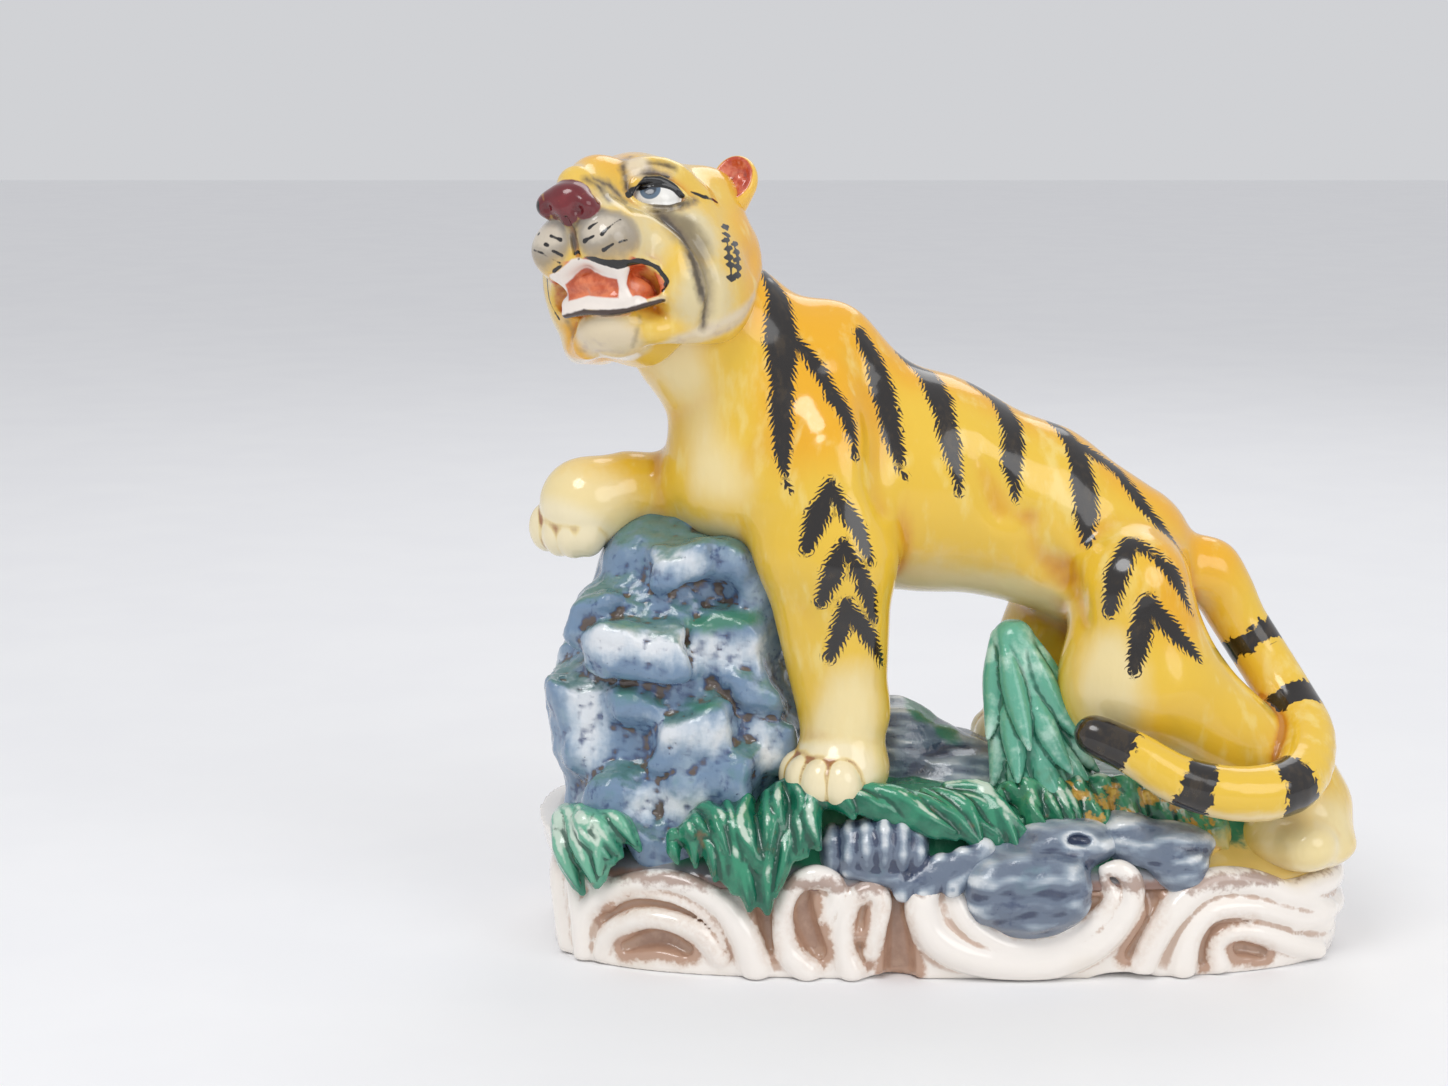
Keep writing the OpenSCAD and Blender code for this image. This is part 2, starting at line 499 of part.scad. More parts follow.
right_roll = [[0.46, 0.18, 0.6], [0.49, 0.50, 0.9], [0.55, 0.86, 1], [0.64, 1.08, 1], [0.74, 1.10, 1],
    [0.84, 0.94, 1], [0.91, 0.58, 0.6]];
right_curl = [[0.63, 0.22, 0.5], [0.63, 0.44, 0.6], [0.69, 0.60, 0.7], [0.77, 0.54, 0.7], [0.83, 0.32, 0.5]];

module plinth() {
    // A cast shell, open underneath
    heights = [for (i = [0 : plinth_rings]) plinth_h * i / plinth_rings];
    function ring(z, inset) = let (swell = bulge(z) - inset) [for (j = [0 : plan_sides - 1])
        concat(plan(360 * j / plan_sides, plinth_l / 2 + swell, plinth_w / 2 + swell), z)];
    roof = plinth_h - plinth_wall;
    rings = concat(
        [ring(roof, plinth_wall), ring(0, plinth_wall)],
        [for (z = heights) ring(z, 0)]);
    color(glaze_white) skin([0, 0, roof], rings, [0, 0, plinth_h]);
}
module front_left_scroll() {
    color(glaze_white) {
        scroll(front_path(big_roll));
        scroll(front_path(small_roll));
    }
}
module ear_scrolls() {
    color(glaze_white) {
        scroll(front_path(tall_ear));
        scroll(front_path(short_ear));
    }
}
module cradle_scroll() {
    color(glaze_white) scroll(front_path(cradle));
}
module front_right_scroll() {
    color(glaze_white) {
        scroll(front_path(right_roll));
        scroll(front_path(right_curl));
    }
}
module end_scroll(turn) {
    color(glaze_white) scroll([
        [turn - 9, 0.18 * plinth_h, 0.5 * scroll_r], [turn - 10, 0.71 * plinth_h, 0.9 * scroll_r],
        [turn, 1.07 * plinth_h, scroll_r],
        [turn + 10, 0.71 * plinth_h, 0.9 * scroll_r], [turn + 9, 0.18 * plinth_h, 0.5 * scroll_r]]);
}
module left_end_scroll() {
    end_scroll(180);
}
module right_end_scroll() {
    end_scroll(0);
}
module back_left_scroll() {
    color(glaze_white) {
        scroll(back_path(big_roll));
        scroll(back_path(small_roll));
    }
}
module back_middle_scroll() {
    color(glaze_white) scroll(back_path(cradle));
}
module back_right_scroll() {
    color(glaze_white) {
        scroll(back_path(right_roll));
        scroll(back_path(right_curl));
    }
}
module on_deck() {
    translate([0, 0, plinth_h]) children();
}
module ground() {
    shares = [1, 0.985, 0.94, 0.86, 0.76, 0.65, 0.53, 0.4, 0.2];
    rings = [for (s = shares) [for (j = [0 : plan_sides - 1])
        let (q = plan(360 * j / plan_sides, s * deck_x, s * deck_y)) concat(q, ground_at(q.x, q.y))]];
    color(glaze_green) on_deck() skin([0, 0, 0], rings, [0, 0, ground_at(0, 0)]);
}
module crag() {
    spine = [for (z = [0.24 : 0.06 : 0.85]) crag_point(0, 0, z)];
    color(glaze_blue) on_deck() wrap(spine, [0, 1, 0], 32, 8, 90, function (p) crag_body(p), 4);
}
module stone(at, lumps, length) {
    spine = [for (i = [-1 : 1]) at + [0.12 * length * i, -3, 4]];
    on_deck() wrap(spine, [0, 1, 0], 14, 4, 45,
        function (p) coped(flesh(p, lumps), [base_body(p), crag_body(p), left_fore_body(p)]));
}
module cradle_stone() {
    color(glaze_blue) stone(cradle_stone_at, cradle_stone_lumps, cradle_stone_l);
}
module ribbed_stone() {
    color(glaze_blue) stone(ribbed_stone_at, ribbed_stone_lumps, ribbed_stone_l);
}
module low_stone() {
    color(glaze_blue) stone(low_stone_at, low_stone_lumps, low_stone_l);
}
module back_boulder() {
    spine = [for (i = [-1 : 1]) back_boulder_at + [9 * i - 3, 1, 8 - 2 * i]];
    color(glaze_blue) on_deck() wrap(spine, [0, 1, 0], 16, 4, 60,
        function (p) coped(flesh(p, back_boulder_lumps), [ground_body(p), left_fore_body(p)]));
}
module front_grass() {
    roots = [for (i = [0 : 5]) [crag_x + 15 + 5.6 * i, 14 - 0.7 * i + 0.12 * i * i - deck_y]];
    tips = [for (i = [0 : 5]) [crag_x + 12 + 6.2 * i, 5 - 0.3 * i + 0.05 * i * i - deck_y]];
    color(glaze_green) on_deck() tuft(roots, tips);
}
module left_grass() {
    roots = [for (i = [0 : 2]) plan(216 + 6 * i, 0.88 * deck_x, 0.88 * deck_y)];
    tips = [for (i = [0 : 2]) plan(214 + 6 * i, 0.965 * deck_x, 0.965 * deck_y)];
    color(glaze_green) on_deck() tuft(roots, tips);
}
module right_grass() {
    roots = [for (i = [0 : 5]) [55 + 6.5 * i, 31 + 0.3 * i - deck_y]];
    tips = [for (i = [0 : 5]) [62 + 7 * i, 22 + 0.5 * i - deck_y]];
    color(glaze_green) on_deck() tuft(roots, tips);
}
module leafy_prop() {
    spine = [for (s = [0.25, 0.45, 0.65, 0.8]) prop_foot + s * (prop_top - prop_foot) + [0, -2, 0]];
    color(glaze_green) on_deck() wrap(spine, [0, 1, 0], 16, 4, 50, function (p) prop_body(p));
}
module torso() {
    spine = smooth_path([rump_at, loin_at, barrel_at, chest_at,
        neck_root + [-2, 0, -2], neck_end + [5, 1, -5]], 3);
    color(glaze_yellow) on_deck() wrap(spine, [0, 1, 0], 28, 6, 80, function (p) torso_body(p));
}
module head() {
    // Rays spread from the middle of the skull, and at the front from behind the tongue
    spine = [for (at = [[-7, 0, 3], [2, 0, 0], [11, 0, -4]]) from_head(at)];
    color(glaze_yellow) on_deck() wrap(spine, head_up, 42, 6, 75, function (p) head_body(p), 15);
}
module ear(side) {
    c = ear_at(side);
    spine = [for (s = [0.25, 0.45, 0.65]) from_head(c + [-2.6, side, s * ear_d / 2])];
    color(glaze_red) on_deck() wrap(spine, head_ahead, 12, 4, 40, function (p) ear_body(p, side));
}
module left_ear() {
    ear(1);
}
module right_ear() {
    ear(-1);
}
module left_foreleg() {
    top = left_elbow + [0, -6, -5];
    spine = smooth_path([top, left_wrist, left_paw + [0, 0, 2]], 5);
    color(glaze_yellow) on_deck() wrap(spine, [0, 1, 0], 22, 6, 60, function (p) left_fore_body(p));
}
module right_foreleg() {
    spine = smooth_path([right_elbow + [-10, -1, 3], right_wrist + [0, 0, 2], right_paw + [-2, -1, 0]], 4);
    color(glaze_yellow) on_deck() wrap(spine, [0, 1, 0], 18, 6, 60, function (p) right_fore_body(p));
}
module left_hind_leg() {
    spine = smooth_path([[57, -26, 100 + drop], [63, -26, 76], [73, -22, 54], left_hock,
        left_heel + [-2, -6, -1], left_hind_paw], 3);
    color(glaze_yellow) on_deck() wrap(spine, unit([0.3, 1, -0.2]), 20, 5, 70,
        function (p) left_hind_body(p));
}
module right_hind_leg() {
    spine = smooth_path([[45, 33, 95 + drop], right_knee + [0, 4, 10], right_hind_paw + [2, 0, 2]], 4);
    color(glaze_yellow) on_deck() wrap(spine, [0, 1, 0], 16, 5, 70, function (p) right_hind_body(p));
}
module tail() {
    color(glaze_yellow) on_deck() wrap(tail_path, unit([0.7, 0.2, 0.7]), 10, 3, 14,
        function (p) tail_body(p));
}

plinth();
front_left_scroll();
ear_scrolls();
cradle_scroll();
front_right_scroll();
left_end_scroll();
right_end_scroll();
back_left_scroll();
back_middle_scroll();
back_right_scroll();
ground();
crag();
cradle_stone();
ribbed_stone();
low_stone();
back_boulder();
front_grass();
left_grass();
right_grass();
leafy_prop();
torso();
head();
left_ear();
right_ear();
left_foreleg();
right_foreleg();
left_hind_leg();
right_hind_leg();
tail();
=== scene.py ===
# Looks of the glazed ceramic tiger: modelled skins, painted glazes, studio light and camera
import math

import bpy
import numpy as np
import openvdb
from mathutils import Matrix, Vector


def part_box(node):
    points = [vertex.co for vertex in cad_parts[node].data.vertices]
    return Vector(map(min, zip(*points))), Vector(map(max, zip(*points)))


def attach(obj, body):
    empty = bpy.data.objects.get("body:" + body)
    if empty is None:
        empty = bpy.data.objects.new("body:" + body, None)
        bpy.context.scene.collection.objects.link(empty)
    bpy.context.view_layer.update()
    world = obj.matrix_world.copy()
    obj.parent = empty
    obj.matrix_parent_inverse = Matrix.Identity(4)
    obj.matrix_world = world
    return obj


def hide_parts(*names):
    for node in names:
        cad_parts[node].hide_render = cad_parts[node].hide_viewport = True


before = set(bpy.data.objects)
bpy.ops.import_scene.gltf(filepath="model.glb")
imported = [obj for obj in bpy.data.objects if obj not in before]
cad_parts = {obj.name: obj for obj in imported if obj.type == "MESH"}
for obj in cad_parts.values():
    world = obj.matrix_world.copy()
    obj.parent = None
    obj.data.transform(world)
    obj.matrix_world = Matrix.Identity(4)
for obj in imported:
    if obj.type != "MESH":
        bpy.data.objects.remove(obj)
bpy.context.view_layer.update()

# Everything is modelled in millimetres, with heights measured from the plinth's deck
MM = 0.001
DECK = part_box("ground")[0][2] / MM
rng = np.random.default_rng(7)

# Depth of empty space, how points settle on clay, and how far round a form or a stroke is worked on
FAR = 9.0
SETTLE_ROUNDS, SETTLE_PULL = 14, 0.8
REACH, STROKE_REACH = 4, 12

# Sizes shared with the solids
PLINTH_L, PLINTH_W, PLINTH_H = 256.0, 110.0, DECK
SWELL, SWELL_FROM, PLAN_POWER = 4.0, 0.55, 3.2
RIM_H, GROUND_RISE = 7.0, 19.0
CRAG_H, CRAG_W, CRAG_D, CRAG_X = 110.0, 84.0, 74.0, -89.0


def vec(*numbers):
    return np.array(numbers, np.float64)


def ease(t):
    t = np.clip(t, 0, 1)
    return t * t * (3 - 2 * t)


def smooth_path(points, steps):
    """A smooth line through some points, with a number of steps between neighbours."""
    points = [np.array(p, float) for p in points]
    last = len(points) - 1
    path = []
    for i in range(last):
        a, b = points[max(i - 1, 0)], points[i]
        c, d = points[i + 1], points[min(i + 2, last)]
        for j in range(steps):
            t = j / steps
            path.append(0.5 * (2 * b + (c - a) * t + (2 * a - 5 * b + 4 * c - d) * t * t
                               + (3 * b - a - 3 * c + d) * t ** 3))
    path.append(points[last])
    return np.array(path)


# Distances to simple forms, for arrays of any shape
def ball(x, y, z, centre, radii):
    ax, ay, az = (x - centre[0]) / radii[0], (y - centre[1]) / radii[1], (z - centre[2]) / radii[2]
    k0 = np.sqrt(ax * ax + ay * ay + az * az)
    k1 = np.sqrt((ax / radii[0]) ** 2 + (ay / radii[1]) ** 2 + (az / radii[2]) ** 2)
    return k0 * (k0 - 1) / np.maximum(k1, 1e-5)


def limb(x, y, z, a, ra, b, rb):
    run = [b[i] - a[i] for i in range(3)]
    length = max(sum(r * r for r in run), 1e-6)
    t = np.clip(((x - a[0]) * run[0] + (y - a[1]) * run[1] + (z - a[2]) * run[2]) / length, 0, 1)
    dx, dy, dz = x - a[0] - t * run[0], y - a[1] - t * run[1], z - a[2] - t * run[2]
    return np.sqrt(dx * dx + dy * dy + dz * dz) - ra - t * (rb - ra)


def soft_min(a, b, k):
    h = np.maximum(k - np.abs(a - b), 0) / k
    return np.minimum(a, b) - h * h * k / 4


def soft_max(a, b, k):
    return -soft_min(-a, -b, k)


def block(x, y, z, centre, half, edge):
    qx, qy, qz = [np.abs(v - c) - h + edge for v, c, h in zip((x, y, z), centre, half)]
    outer = np.sqrt(np.maximum(qx, 0) ** 2 + np.maximum(qy, 0) ** 2 + np.maximum(qz, 0) ** 2)
    return outer + np.minimum(np.maximum(qx, np.maximum(qy, qz)), 0) - edge


def muscle(x, y, z, m):
    """Distance to a ball (centre, radii), a block (centre, halves, edge) or a limb (two ends with radii).

    The last number of each is the width over which it blends with its neighbours.
    """
    if len(m) == 3:
        return ball(x, y, z, m[0], m[1])
    if len(m) == 4:
        return block(x, y, z, m[0], m[1], m[2])
    return limb(x, y, z, m[0], m[1], m[2], m[3])


def muscle_box(m):
    if len(m) < 5:
        return np.array(m[0]) - m[1], np.array(m[0]) + m[1]
    a, b, r = np.array(m[0]), np.array(m[2]), max(m[1], m[3])
    return np.minimum(a, b) - r, np.maximum(a, b) + r


def make_piece(name, points, faces, layers, material, nodes):
    mesh = bpy.data.meshes.new(name)
    mesh.from_pydata(((points + vec(0, 0, DECK)) * MM).tolist(), [], faces)
    for layer, values in layers.items():
        attribute = mesh.attributes.new(layer, "FLOAT", "POINT")
        attribute.data.foreach_set("value", np.asarray(values, np.float32))
    mesh.polygons.foreach_set("use_smooth", [True] * len(mesh.polygons))
    mesh.materials.append(material)
    piece = bpy.data.objects.new(name, mesh)
    bpy.context.scene.collection.objects.link(piece)
    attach(piece, "root")
    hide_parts(*nodes)


class Clay:
    """A block of space in which forms are pressed together and cut, and then skinned."""

    def __init__(self, low, high, step):
        self.step = step
        self.low = np.array(low, np.float32)
        count = np.ceil((np.array(high) - self.low) / step).astype(int) + 1
        self.axis = [self.low[i] + step * np.arange(count[i], dtype=np.float32) for i in range(3)]
        self.depth = np.full(count, FAR, np.float32)

    def block(self, low, high):
        cut = []
        for i in range(3):
            first = int((low[i] - self.low[i]) / self.step)
            last = int((high[i] - self.low[i]) / self.step) + 2
            cut.append(slice(max(first, 0), max(min(last, len(self.axis[i])), 0)))
        x = self.axis[0][cut[0]][:, None, None]
        y = self.axis[1][cut[1]][None, :, None]
        z = self.axis[2][cut[2]][None, None, :]
        return tuple(cut), x, y, z

    def twin(self):
        """An empty block in the same place."""
        return Clay(self.low, self.low + self.step * (np.array(self.depth.shape) - 1), self.step)

    def everywhere(self):
        return self.axis[0][:, None, None], self.axis[1][None, :, None], self.axis[2][None, None, :]

    def add(self, muscles, squeeze=1.0, middle=0.0):
        for m in muscles:
            low, high = muscle_box(m)
            reach = m[-1] + REACH
            low, high = low - reach, high + reach
            if squeeze != 1.0:
                low[1] = middle + (low[1] - middle) / squeeze
                high[1] = middle + (high[1] - middle) / squeeze
            cut, x, y, z = self.block(low, high)
            d = muscle(x, middle + (y - middle) * squeeze, z, m) / squeeze
            self.depth[cut] = soft_min(self.depth[cut], d, m[-1] / squeeze)

    def cut(self, muscles):
        for m in muscles:
            low, high = muscle_box(m)
            reach = m[-1] + REACH
            cut, x, y, z = self.block(low - reach, high + reach)
            self.depth[cut] = soft_max(self.depth[cut], -muscle(x, y, z, m), m[-1])

    def mesh(self, name, place=None):
        grid = openvdb.FloatGrid(FAR)
        grid.copyFromArray(np.ascontiguousarray(self.depth))
        points, _, quads = grid.convertToPolygons(isovalue=0.0, adaptivity=0.0)
        points = points * self.step + self.low
        return Skin(name, points, quads, place)

    def sample(self, p):
        """Depth and outward direction at one point."""
        i = [int(np.clip(round((p[a] - self.low[a]) / self.step), 2, self.depth.shape[a] - 3))
             for a in range(3)]
        here = self.depth[i[0], i[1], i[2]]
        slope = vec(self.depth[i[0] + 1, i[1], i[2]] - self.depth[i[0] - 1, i[1], i[2]],
                    self.depth[i[0], i[1] + 1, i[2]] - self.depth[i[0], i[1] - 1, i[2]],
                    self.depth[i[0], i[1], i[2] + 1] - self.depth[i[0], i[1], i[2] - 1])
        way = slope / max(np.linalg.norm(slope), 1e-6)
        spot = vec(*[self.axis[a][i[a]] for a in range(3)])
        return here + (p - spot) @ way, way

    def settle(self, points, sink=0.0):
        """Moves points along the slope of the clay until they lie on its surface, or a little under it."""
        laid = []
        for p in points:
            p = vec(*p)
            for _ in range(SETTLE_ROUNDS):
                depth, way = self.sample(p)
                p = p - SETTLE_PULL * depth * way
            laid.append(p - sink * way)
        return laid


class Skin:
    """A closed mesh with its points, normals and painted layers."""

    def __init__(self, name, points, faces, place=None):
        self.name = name
        self.local = np.asarray(points, np.float64)
        self.points = self.local if place is None else place(self.local)
        self.faces = np.asarray(faces)
        self.layers = {}
        self.caps = []
        self.largest()
        self.measure()

    def largest(self):
        """Keeps the outer shell, so that no loose crumb is left beside it."""
        count = len(self.points)
        label = np.arange(count)
        a = self.faces
        for _ in range(200):
            low = label[a].min(axis=1)
            new = label.copy()
            for j in range(a.shape[1]):
                np.minimum.at(new, label[a[:, j]], low)
            for _ in range(4):
                new = new[new]
            if np.array_equal(new, label):
                break
            label = new
        groups, sizes = np.unique(label, return_counts=True)
        if len(groups) == 1:
            return
        keep = label == groups[np.argmax(sizes)]
        index = np.cumsum(keep) - 1
        self.faces = index[a[keep[a[:, 0]]]]
        self.local = self.local[keep]
        self.points = self.points[keep]

    def measure(self):
        p, f = self.points, self.faces
        diagonal = np.cross(p[f[:, 2]] - p[f[:, 0]], p[f[:, -1]] - p[f[:, 1]])
        normal = np.zeros_like(p)
        for j in range(f.shape[1]):
            for i in range(3):
                normal[:, i] += np.bincount(f[:, j], diagonal[:, i], len(p))
        self.normal = normal / np.maximum(np.linalg.norm(normal, axis=1, keepdims=True), 1e-9)
        self.edges = np.concatenate([f[:, [j, (j + 1) % f.shape[1]]] for j in range(f.shape[1])])

    def smoothed(self, values, rounds):
        a, b = self.edges[:, 0], self.edges[:, 1]
        weight = np.bincount(a, minlength=len(self.points)) + np.bincount(b, minlength=len(self.points))
        values = np.array(values, float)
        flat = values.ndim == 1
        if flat:
            values = values[:, None]
        for _ in range(rounds):
            total = np.empty_like(values)
            for i in range(values.shape[1]):
                total[:, i] = (np.bincount(a, values[b, i], len(values))
                               + np.bincount(b, values[a, i], len(values)))
            values = 0.5 * values + 0.5 * total / weight[:, None]
        return values[:, 0] if flat else values

    def hollow(self, rounds):
        """How far each point lies below its surroundings, in mm; ridges are negative."""
        return np.einsum("ij,ij->i", self.smoothed(self.points, rounds) - self.points, self.normal)

    def relax(self, rounds):
        """Evens out the steps that the block of space leaves on gentle slopes."""
        for _ in range(rounds):
            for pull in (1.0, -1.04):
                moved = self.smoothed(self.points, 1) - self.points
                self.points = self.points + pull * moved
        self.measure()

    def object(self, material, nodes, slot):
        faces = self.faces.tolist() + self.caps
        make_piece(self.name, self.points, faces, self.layers, material, nodes)


# Gentle noise made of a few waves, for the relief of shapes
def waves(points, size, seed, octaves=3):
    local = np.random.default_rng(seed)
    total = np.zeros(len(points))
    gain = 1.0
    for _ in range(octaves):
        for _ in range(4):
            way = local.normal(size=3)
            way /= np.linalg.norm(way) * size
            total += gain * np.sin(2 * math.pi * (points @ way) + local.uniform(0, 6.28)) / 4
        size *= 0.5
        gain *= 0.5
    return total


# Painted strokes: distance, place along and side of the nearest stroke
def paint(skin, strokes, prefix):
    count = len(skin.points)
    edge = np.full(count, 30.0)
    along = np.zeros(count)
    across = np.zeros(count)
    for line, widths in strokes:
        line = np.array(line, float)
        widths = np.array(widths, float)
        low, high = line.min(0) - STROKE_REACH, line.max(0) + STROKE_REACH
        near = np.all((skin.points > low) & (skin.points < high), axis=1)
        index = np.nonzero(near)[0]
        if len(index) == 0:
            continue
        p = skin.points[index]
        n = skin.normal[index]
        start = 0.0
        for i in range(len(line) - 1):
            run = line[i + 1] - line[i]
            length = np.linalg.norm(run)
            t = np.clip((p - line[i]) @ run / max(length ** 2, 1e-9), 0, 1)
            off = p - line[i] - t[:, None] * run
            distance = np.linalg.norm(off, axis=1)
            side = np.sign(np.einsum("ij,ij->i", np.cross(run, n), off))
            width = widths[i] + t * (widths[i + 1] - widths[i])
            value = distance - width
            better = value < edge[index]
            chosen = index[better]
            edge[chosen] = value[better]
            along[chosen] = start + t[better] * length
            across[chosen] = (side * distance)[better]
            start += length
    skin.layers[prefix + "_edge"] = edge
    skin.layers[prefix + "_along"] = along
    skin.layers[prefix + "_across"] = across


# Ground form shared by everything that stands on it, and how deep that is set into it
TOP_INSET = SWELL * ((PLINTH_H - SWELL_FROM * PLINTH_H) / (SWELL_FROM * PLINTH_H)) ** 2
DECK_X, DECK_Y = PLINTH_L / 2 - TOP_INSET, PLINTH_W / 2 - TOP_INSET
SEAT = 2.0


def plan_share(x, y, half_x, half_y):
    return ((np.abs(x) / half_x) ** PLAN_POWER + (np.abs(y) / half_y) ** PLAN_POWER) ** (1 / PLAN_POWER)


def ground_at(x, y):
    share = plan_share(x, y, DECK_X, DECK_Y)
    return RIM_H * np.sqrt(np.maximum(0, 1 - share ** 14)) + GROUND_RISE * ease((1 - share) / 0.5)


# Tiger's trunk and limbs
SQUEEZE, SPINE_Y = 1.22, 3.0
rump, loin, barrel, chest = vec(56, 4, 96), vec(27, 4, 111), vec(-8, 3, 121), vec(-42, 2, 131)
trunk_muscles = [
    (rump, 25.5, loin, 29, 4),
    (loin, 29, barrel, 35, 4),
    (barrel, 35, chest, 36, 4),
    (vec(-37, 2, 131), vec(23, 22, 48), 12),
    (vec(-64, -2, 126), vec(27, 31, 27), 10),
    (vec(-57, 0, 150), 31.2, vec(-77, -2, 171), 24, 12),
    (vec(-77, -2, 171), 24, vec(-86, -4, 182), 22, 8)]
shoulder = vec(-39, -23, 122)
shoulder_muscles = [
    (shoulder, vec(17, 17, 27), 10),
    (shoulder + vec(-2, 46, 4), vec(17, 15, 24), 10)]


def paw(at, heading, width):
    toes = [(at, vec(0.46, 0.46, 0.36) * width, 5)]
    for i in (-1.5, -0.5, 0.5, 1.5):
        turn = math.radians(heading + 29 * i)
        toes.append((at + vec(0.38 * width * math.cos(turn), 0.38 * width * math.sin(turn), -0.06 * width),
                     vec(0.2, 0.2, 0.24) * width, 0.5))
    return toes


left_elbow, left_wrist = vec(-34, -29, 100), vec(-32, -28, 52)
left_paw = vec(-35, -31, ground_at(-35, -31) + 10.5)
left_fore = [
    (vec(-50, -20, 118), 15, left_elbow + vec(-13, 5, 2), 13.8, 8),
    (left_elbow + vec(-13, 5, 2), 13.8, left_wrist + vec(-7, 2, -3), 9, 6),
    (shoulder + vec(3, -4, -16), 15, left_elbow, 15, 6),
    (left_elbow, 15, left_wrist, 11.5, 6),
    (left_wrist, 11.5, left_paw, 11.5, 6)] + paw(left_paw, 225, 34)

right_elbow, right_wrist = vec(-82, 12, CRAG_H + 5), vec(-104, 7, CRAG_H + 8)
right_paw = vec(CRAG_X - 0.33 * CRAG_W, 2, CRAG_H + 4)
right_toes = right_paw + vec(-6, -6, -9)
right_fore = [
    (vec(-66, 18, 122), 17.4, right_elbow, 13.2, 6),
    (right_elbow, 13.2, right_wrist, 10.6, 6),
    (right_wrist, 10.6, right_paw, 12, 6),
    (right_paw, vec(14.7, 14, 14.7), 5)] + [
    (right_toes + vec(4.5 * i, 2.6 * abs(i) - 3.4 * i, 0.6 * abs(i)), vec(6, 6.5, 8), 1.2)
    for i in (-1.5, -0.5, 0.5, 1.5)]

left_thigh, left_hock, left_heel = vec(62, -17, 62), vec(111.5, -16, 26), vec(118, -14, 17)
left_hind_paw = vec(108, -28, ground_at(108, -28) + 5)
left_hind = [
    (vec(58, -19, 90), 18.4, left_thigh, 23, 8),
    (vec(51, -21, 60), vec(15, 15, 19), 8),
    (left_thigh + vec(4, 0, -6), 20.7, left_hock, 13.5, 10),
    (left_hock, 13.5, left_heel, 12.4, 5),
    (left_heel, 12.4, left_hind_paw, 9.7, 5),
    (vec(112, -24, 8), vec(19, 18, 8), 6),
    (vec(116, -24, 16), vec(11, 13, 11), 7),
    (left_hind_paw + vec(4.5, -11.5, -1.5), vec(8.6, 7.4, 7.2), 3.5)]

right_knee = vec(40, 25, 60)
right_hind_paw = vec(28, 27, ground_at(28, 27) + 7.7)
right_hind = [
    (vec(47, 24, 90), 19.8, right_knee, 18, 8),
    (right_knee, 18, right_hind_paw, 11.3, 8)] + paw(right_hind_paw, 190, 27)

tail_path = smooth_path([
    (87, 4, 92), (93, 4, 81), (102, 2, 67), (111, -8, 52), (115, -23, 42), (108, -42, 33),
    (91, -51, 31), (71, -52, 35), (55, -50, 44), (43, -47, 49)], 4)
TAIL_R, TAPER, TAPER_FROM = 8.5, 0.28, 0.6
tail_share = np.arange(len(tail_path)) / (len(tail_path) - 1)
tail_radii = TAIL_R * (1 - TAPER * ease((tail_share - TAPER_FROM) / 0.4))
tail_links = [(tail_path[i], tail_radii[i], tail_path[i + 1], tail_radii[i + 1], 1.5)
              for i in range(len(tail_path) - 1)]


def chain(points, radii, k, steps=3):
    """A roll of clay along a smooth line, with a radius at each point of the line."""
    line = smooth_path([(*p, r) for p, r in zip(points, radii)], steps)
    return [(a[:3], a[3], b[:3], b[3], k) for a, b in zip(line[:-1], line[1:])]


def roll(clay, points, radii, k, steps=3, cut=False):
    """Presses one roll on the clay, or cuts its groove, without a bead at each of its links."""
    links = chain(points, radii, 0.2, steps)
    low = np.min([muscle_box(m)[0] for m in links], axis=0) - k - 3
    high = np.max([muscle_box(m)[1] for m in links], axis=0) + k + 3
    place, x, y, z = clay.block(low, high)
    own = np.full(clay.depth[place].shape, FAR, np.float32)
    for m in links:
        own = np.minimum(own, muscle(x, y, z, m))
    if cut:
        clay.depth[place] = soft_max(clay.depth[place], -own, k)
    else:
        clay.depth[place] = soft_min(clay.depth[place], own, k)


# Folds of the hide: behind the shoulder blade, at the stifle and along the thigh
body_folds = [
    ([(-30, -16, 164), (-25, -21, 152), (-24, -26, 140), (-27, -30, 128), (-26, -31, 118)],
     [3, 5, 6, 5.5, 3]),
    ([(6, -22, 135), (12, -22, 124), (17, -22, 116), (25, -21, 113)], [2.5, 5, 5, 3]),
    ([(25, -20, 111), (28, -21, 102), (32, -25, 92), (36, -30, 82)], [3, 5, 5, 3])]

# Blending widths of limbs, tail and folds, and how far a fold's groove is lifted off the hide
LIMB_BLEND, TAIL_BLEND, ROOT_BLEND = 9.0, 1.5, 9
FOLD_LIFT, FOLD_BLEND = 4.2, 6


def far_side(line):
    return [(p[0], 2 * SPINE_Y - p[1], p[2]) for p in line]


def tiger_body():
    clay = Clay((-138, -64, 2), (134, 54, 190), 1.0)
    clay.add(trunk_muscles, SQUEEZE, SPINE_Y)
    clay.add([(m[0], m[1], 12) for m in shoulder_muscles])
    for limbs in (left_fore, right_fore, left_hind, right_hind):
        own = clay.twin()
        own.add(limbs)
        clay.depth = soft_min(clay.depth, own.depth, LIMB_BLEND)
    own = clay.twin()
    own.add(tail_links)
    x, y, z = clay.everywhere()
    root_blend = TAIL_BLEND + ROOT_BLEND * ease((z - 70) / 20)
    clay.depth = soft_min(clay.depth, own.depth, root_blend.astype(np.float32))
    for line, radii in body_folds:
        for other in (line, far_side(line)):
            roll(clay, clay.settle(other, -FOLD_LIFT), radii, FOLD_BLEND, 4, cut=True)
    return clay


body_clay = tiger_body()
body = body_clay.mesh("tiger_body")
body.relax(3)

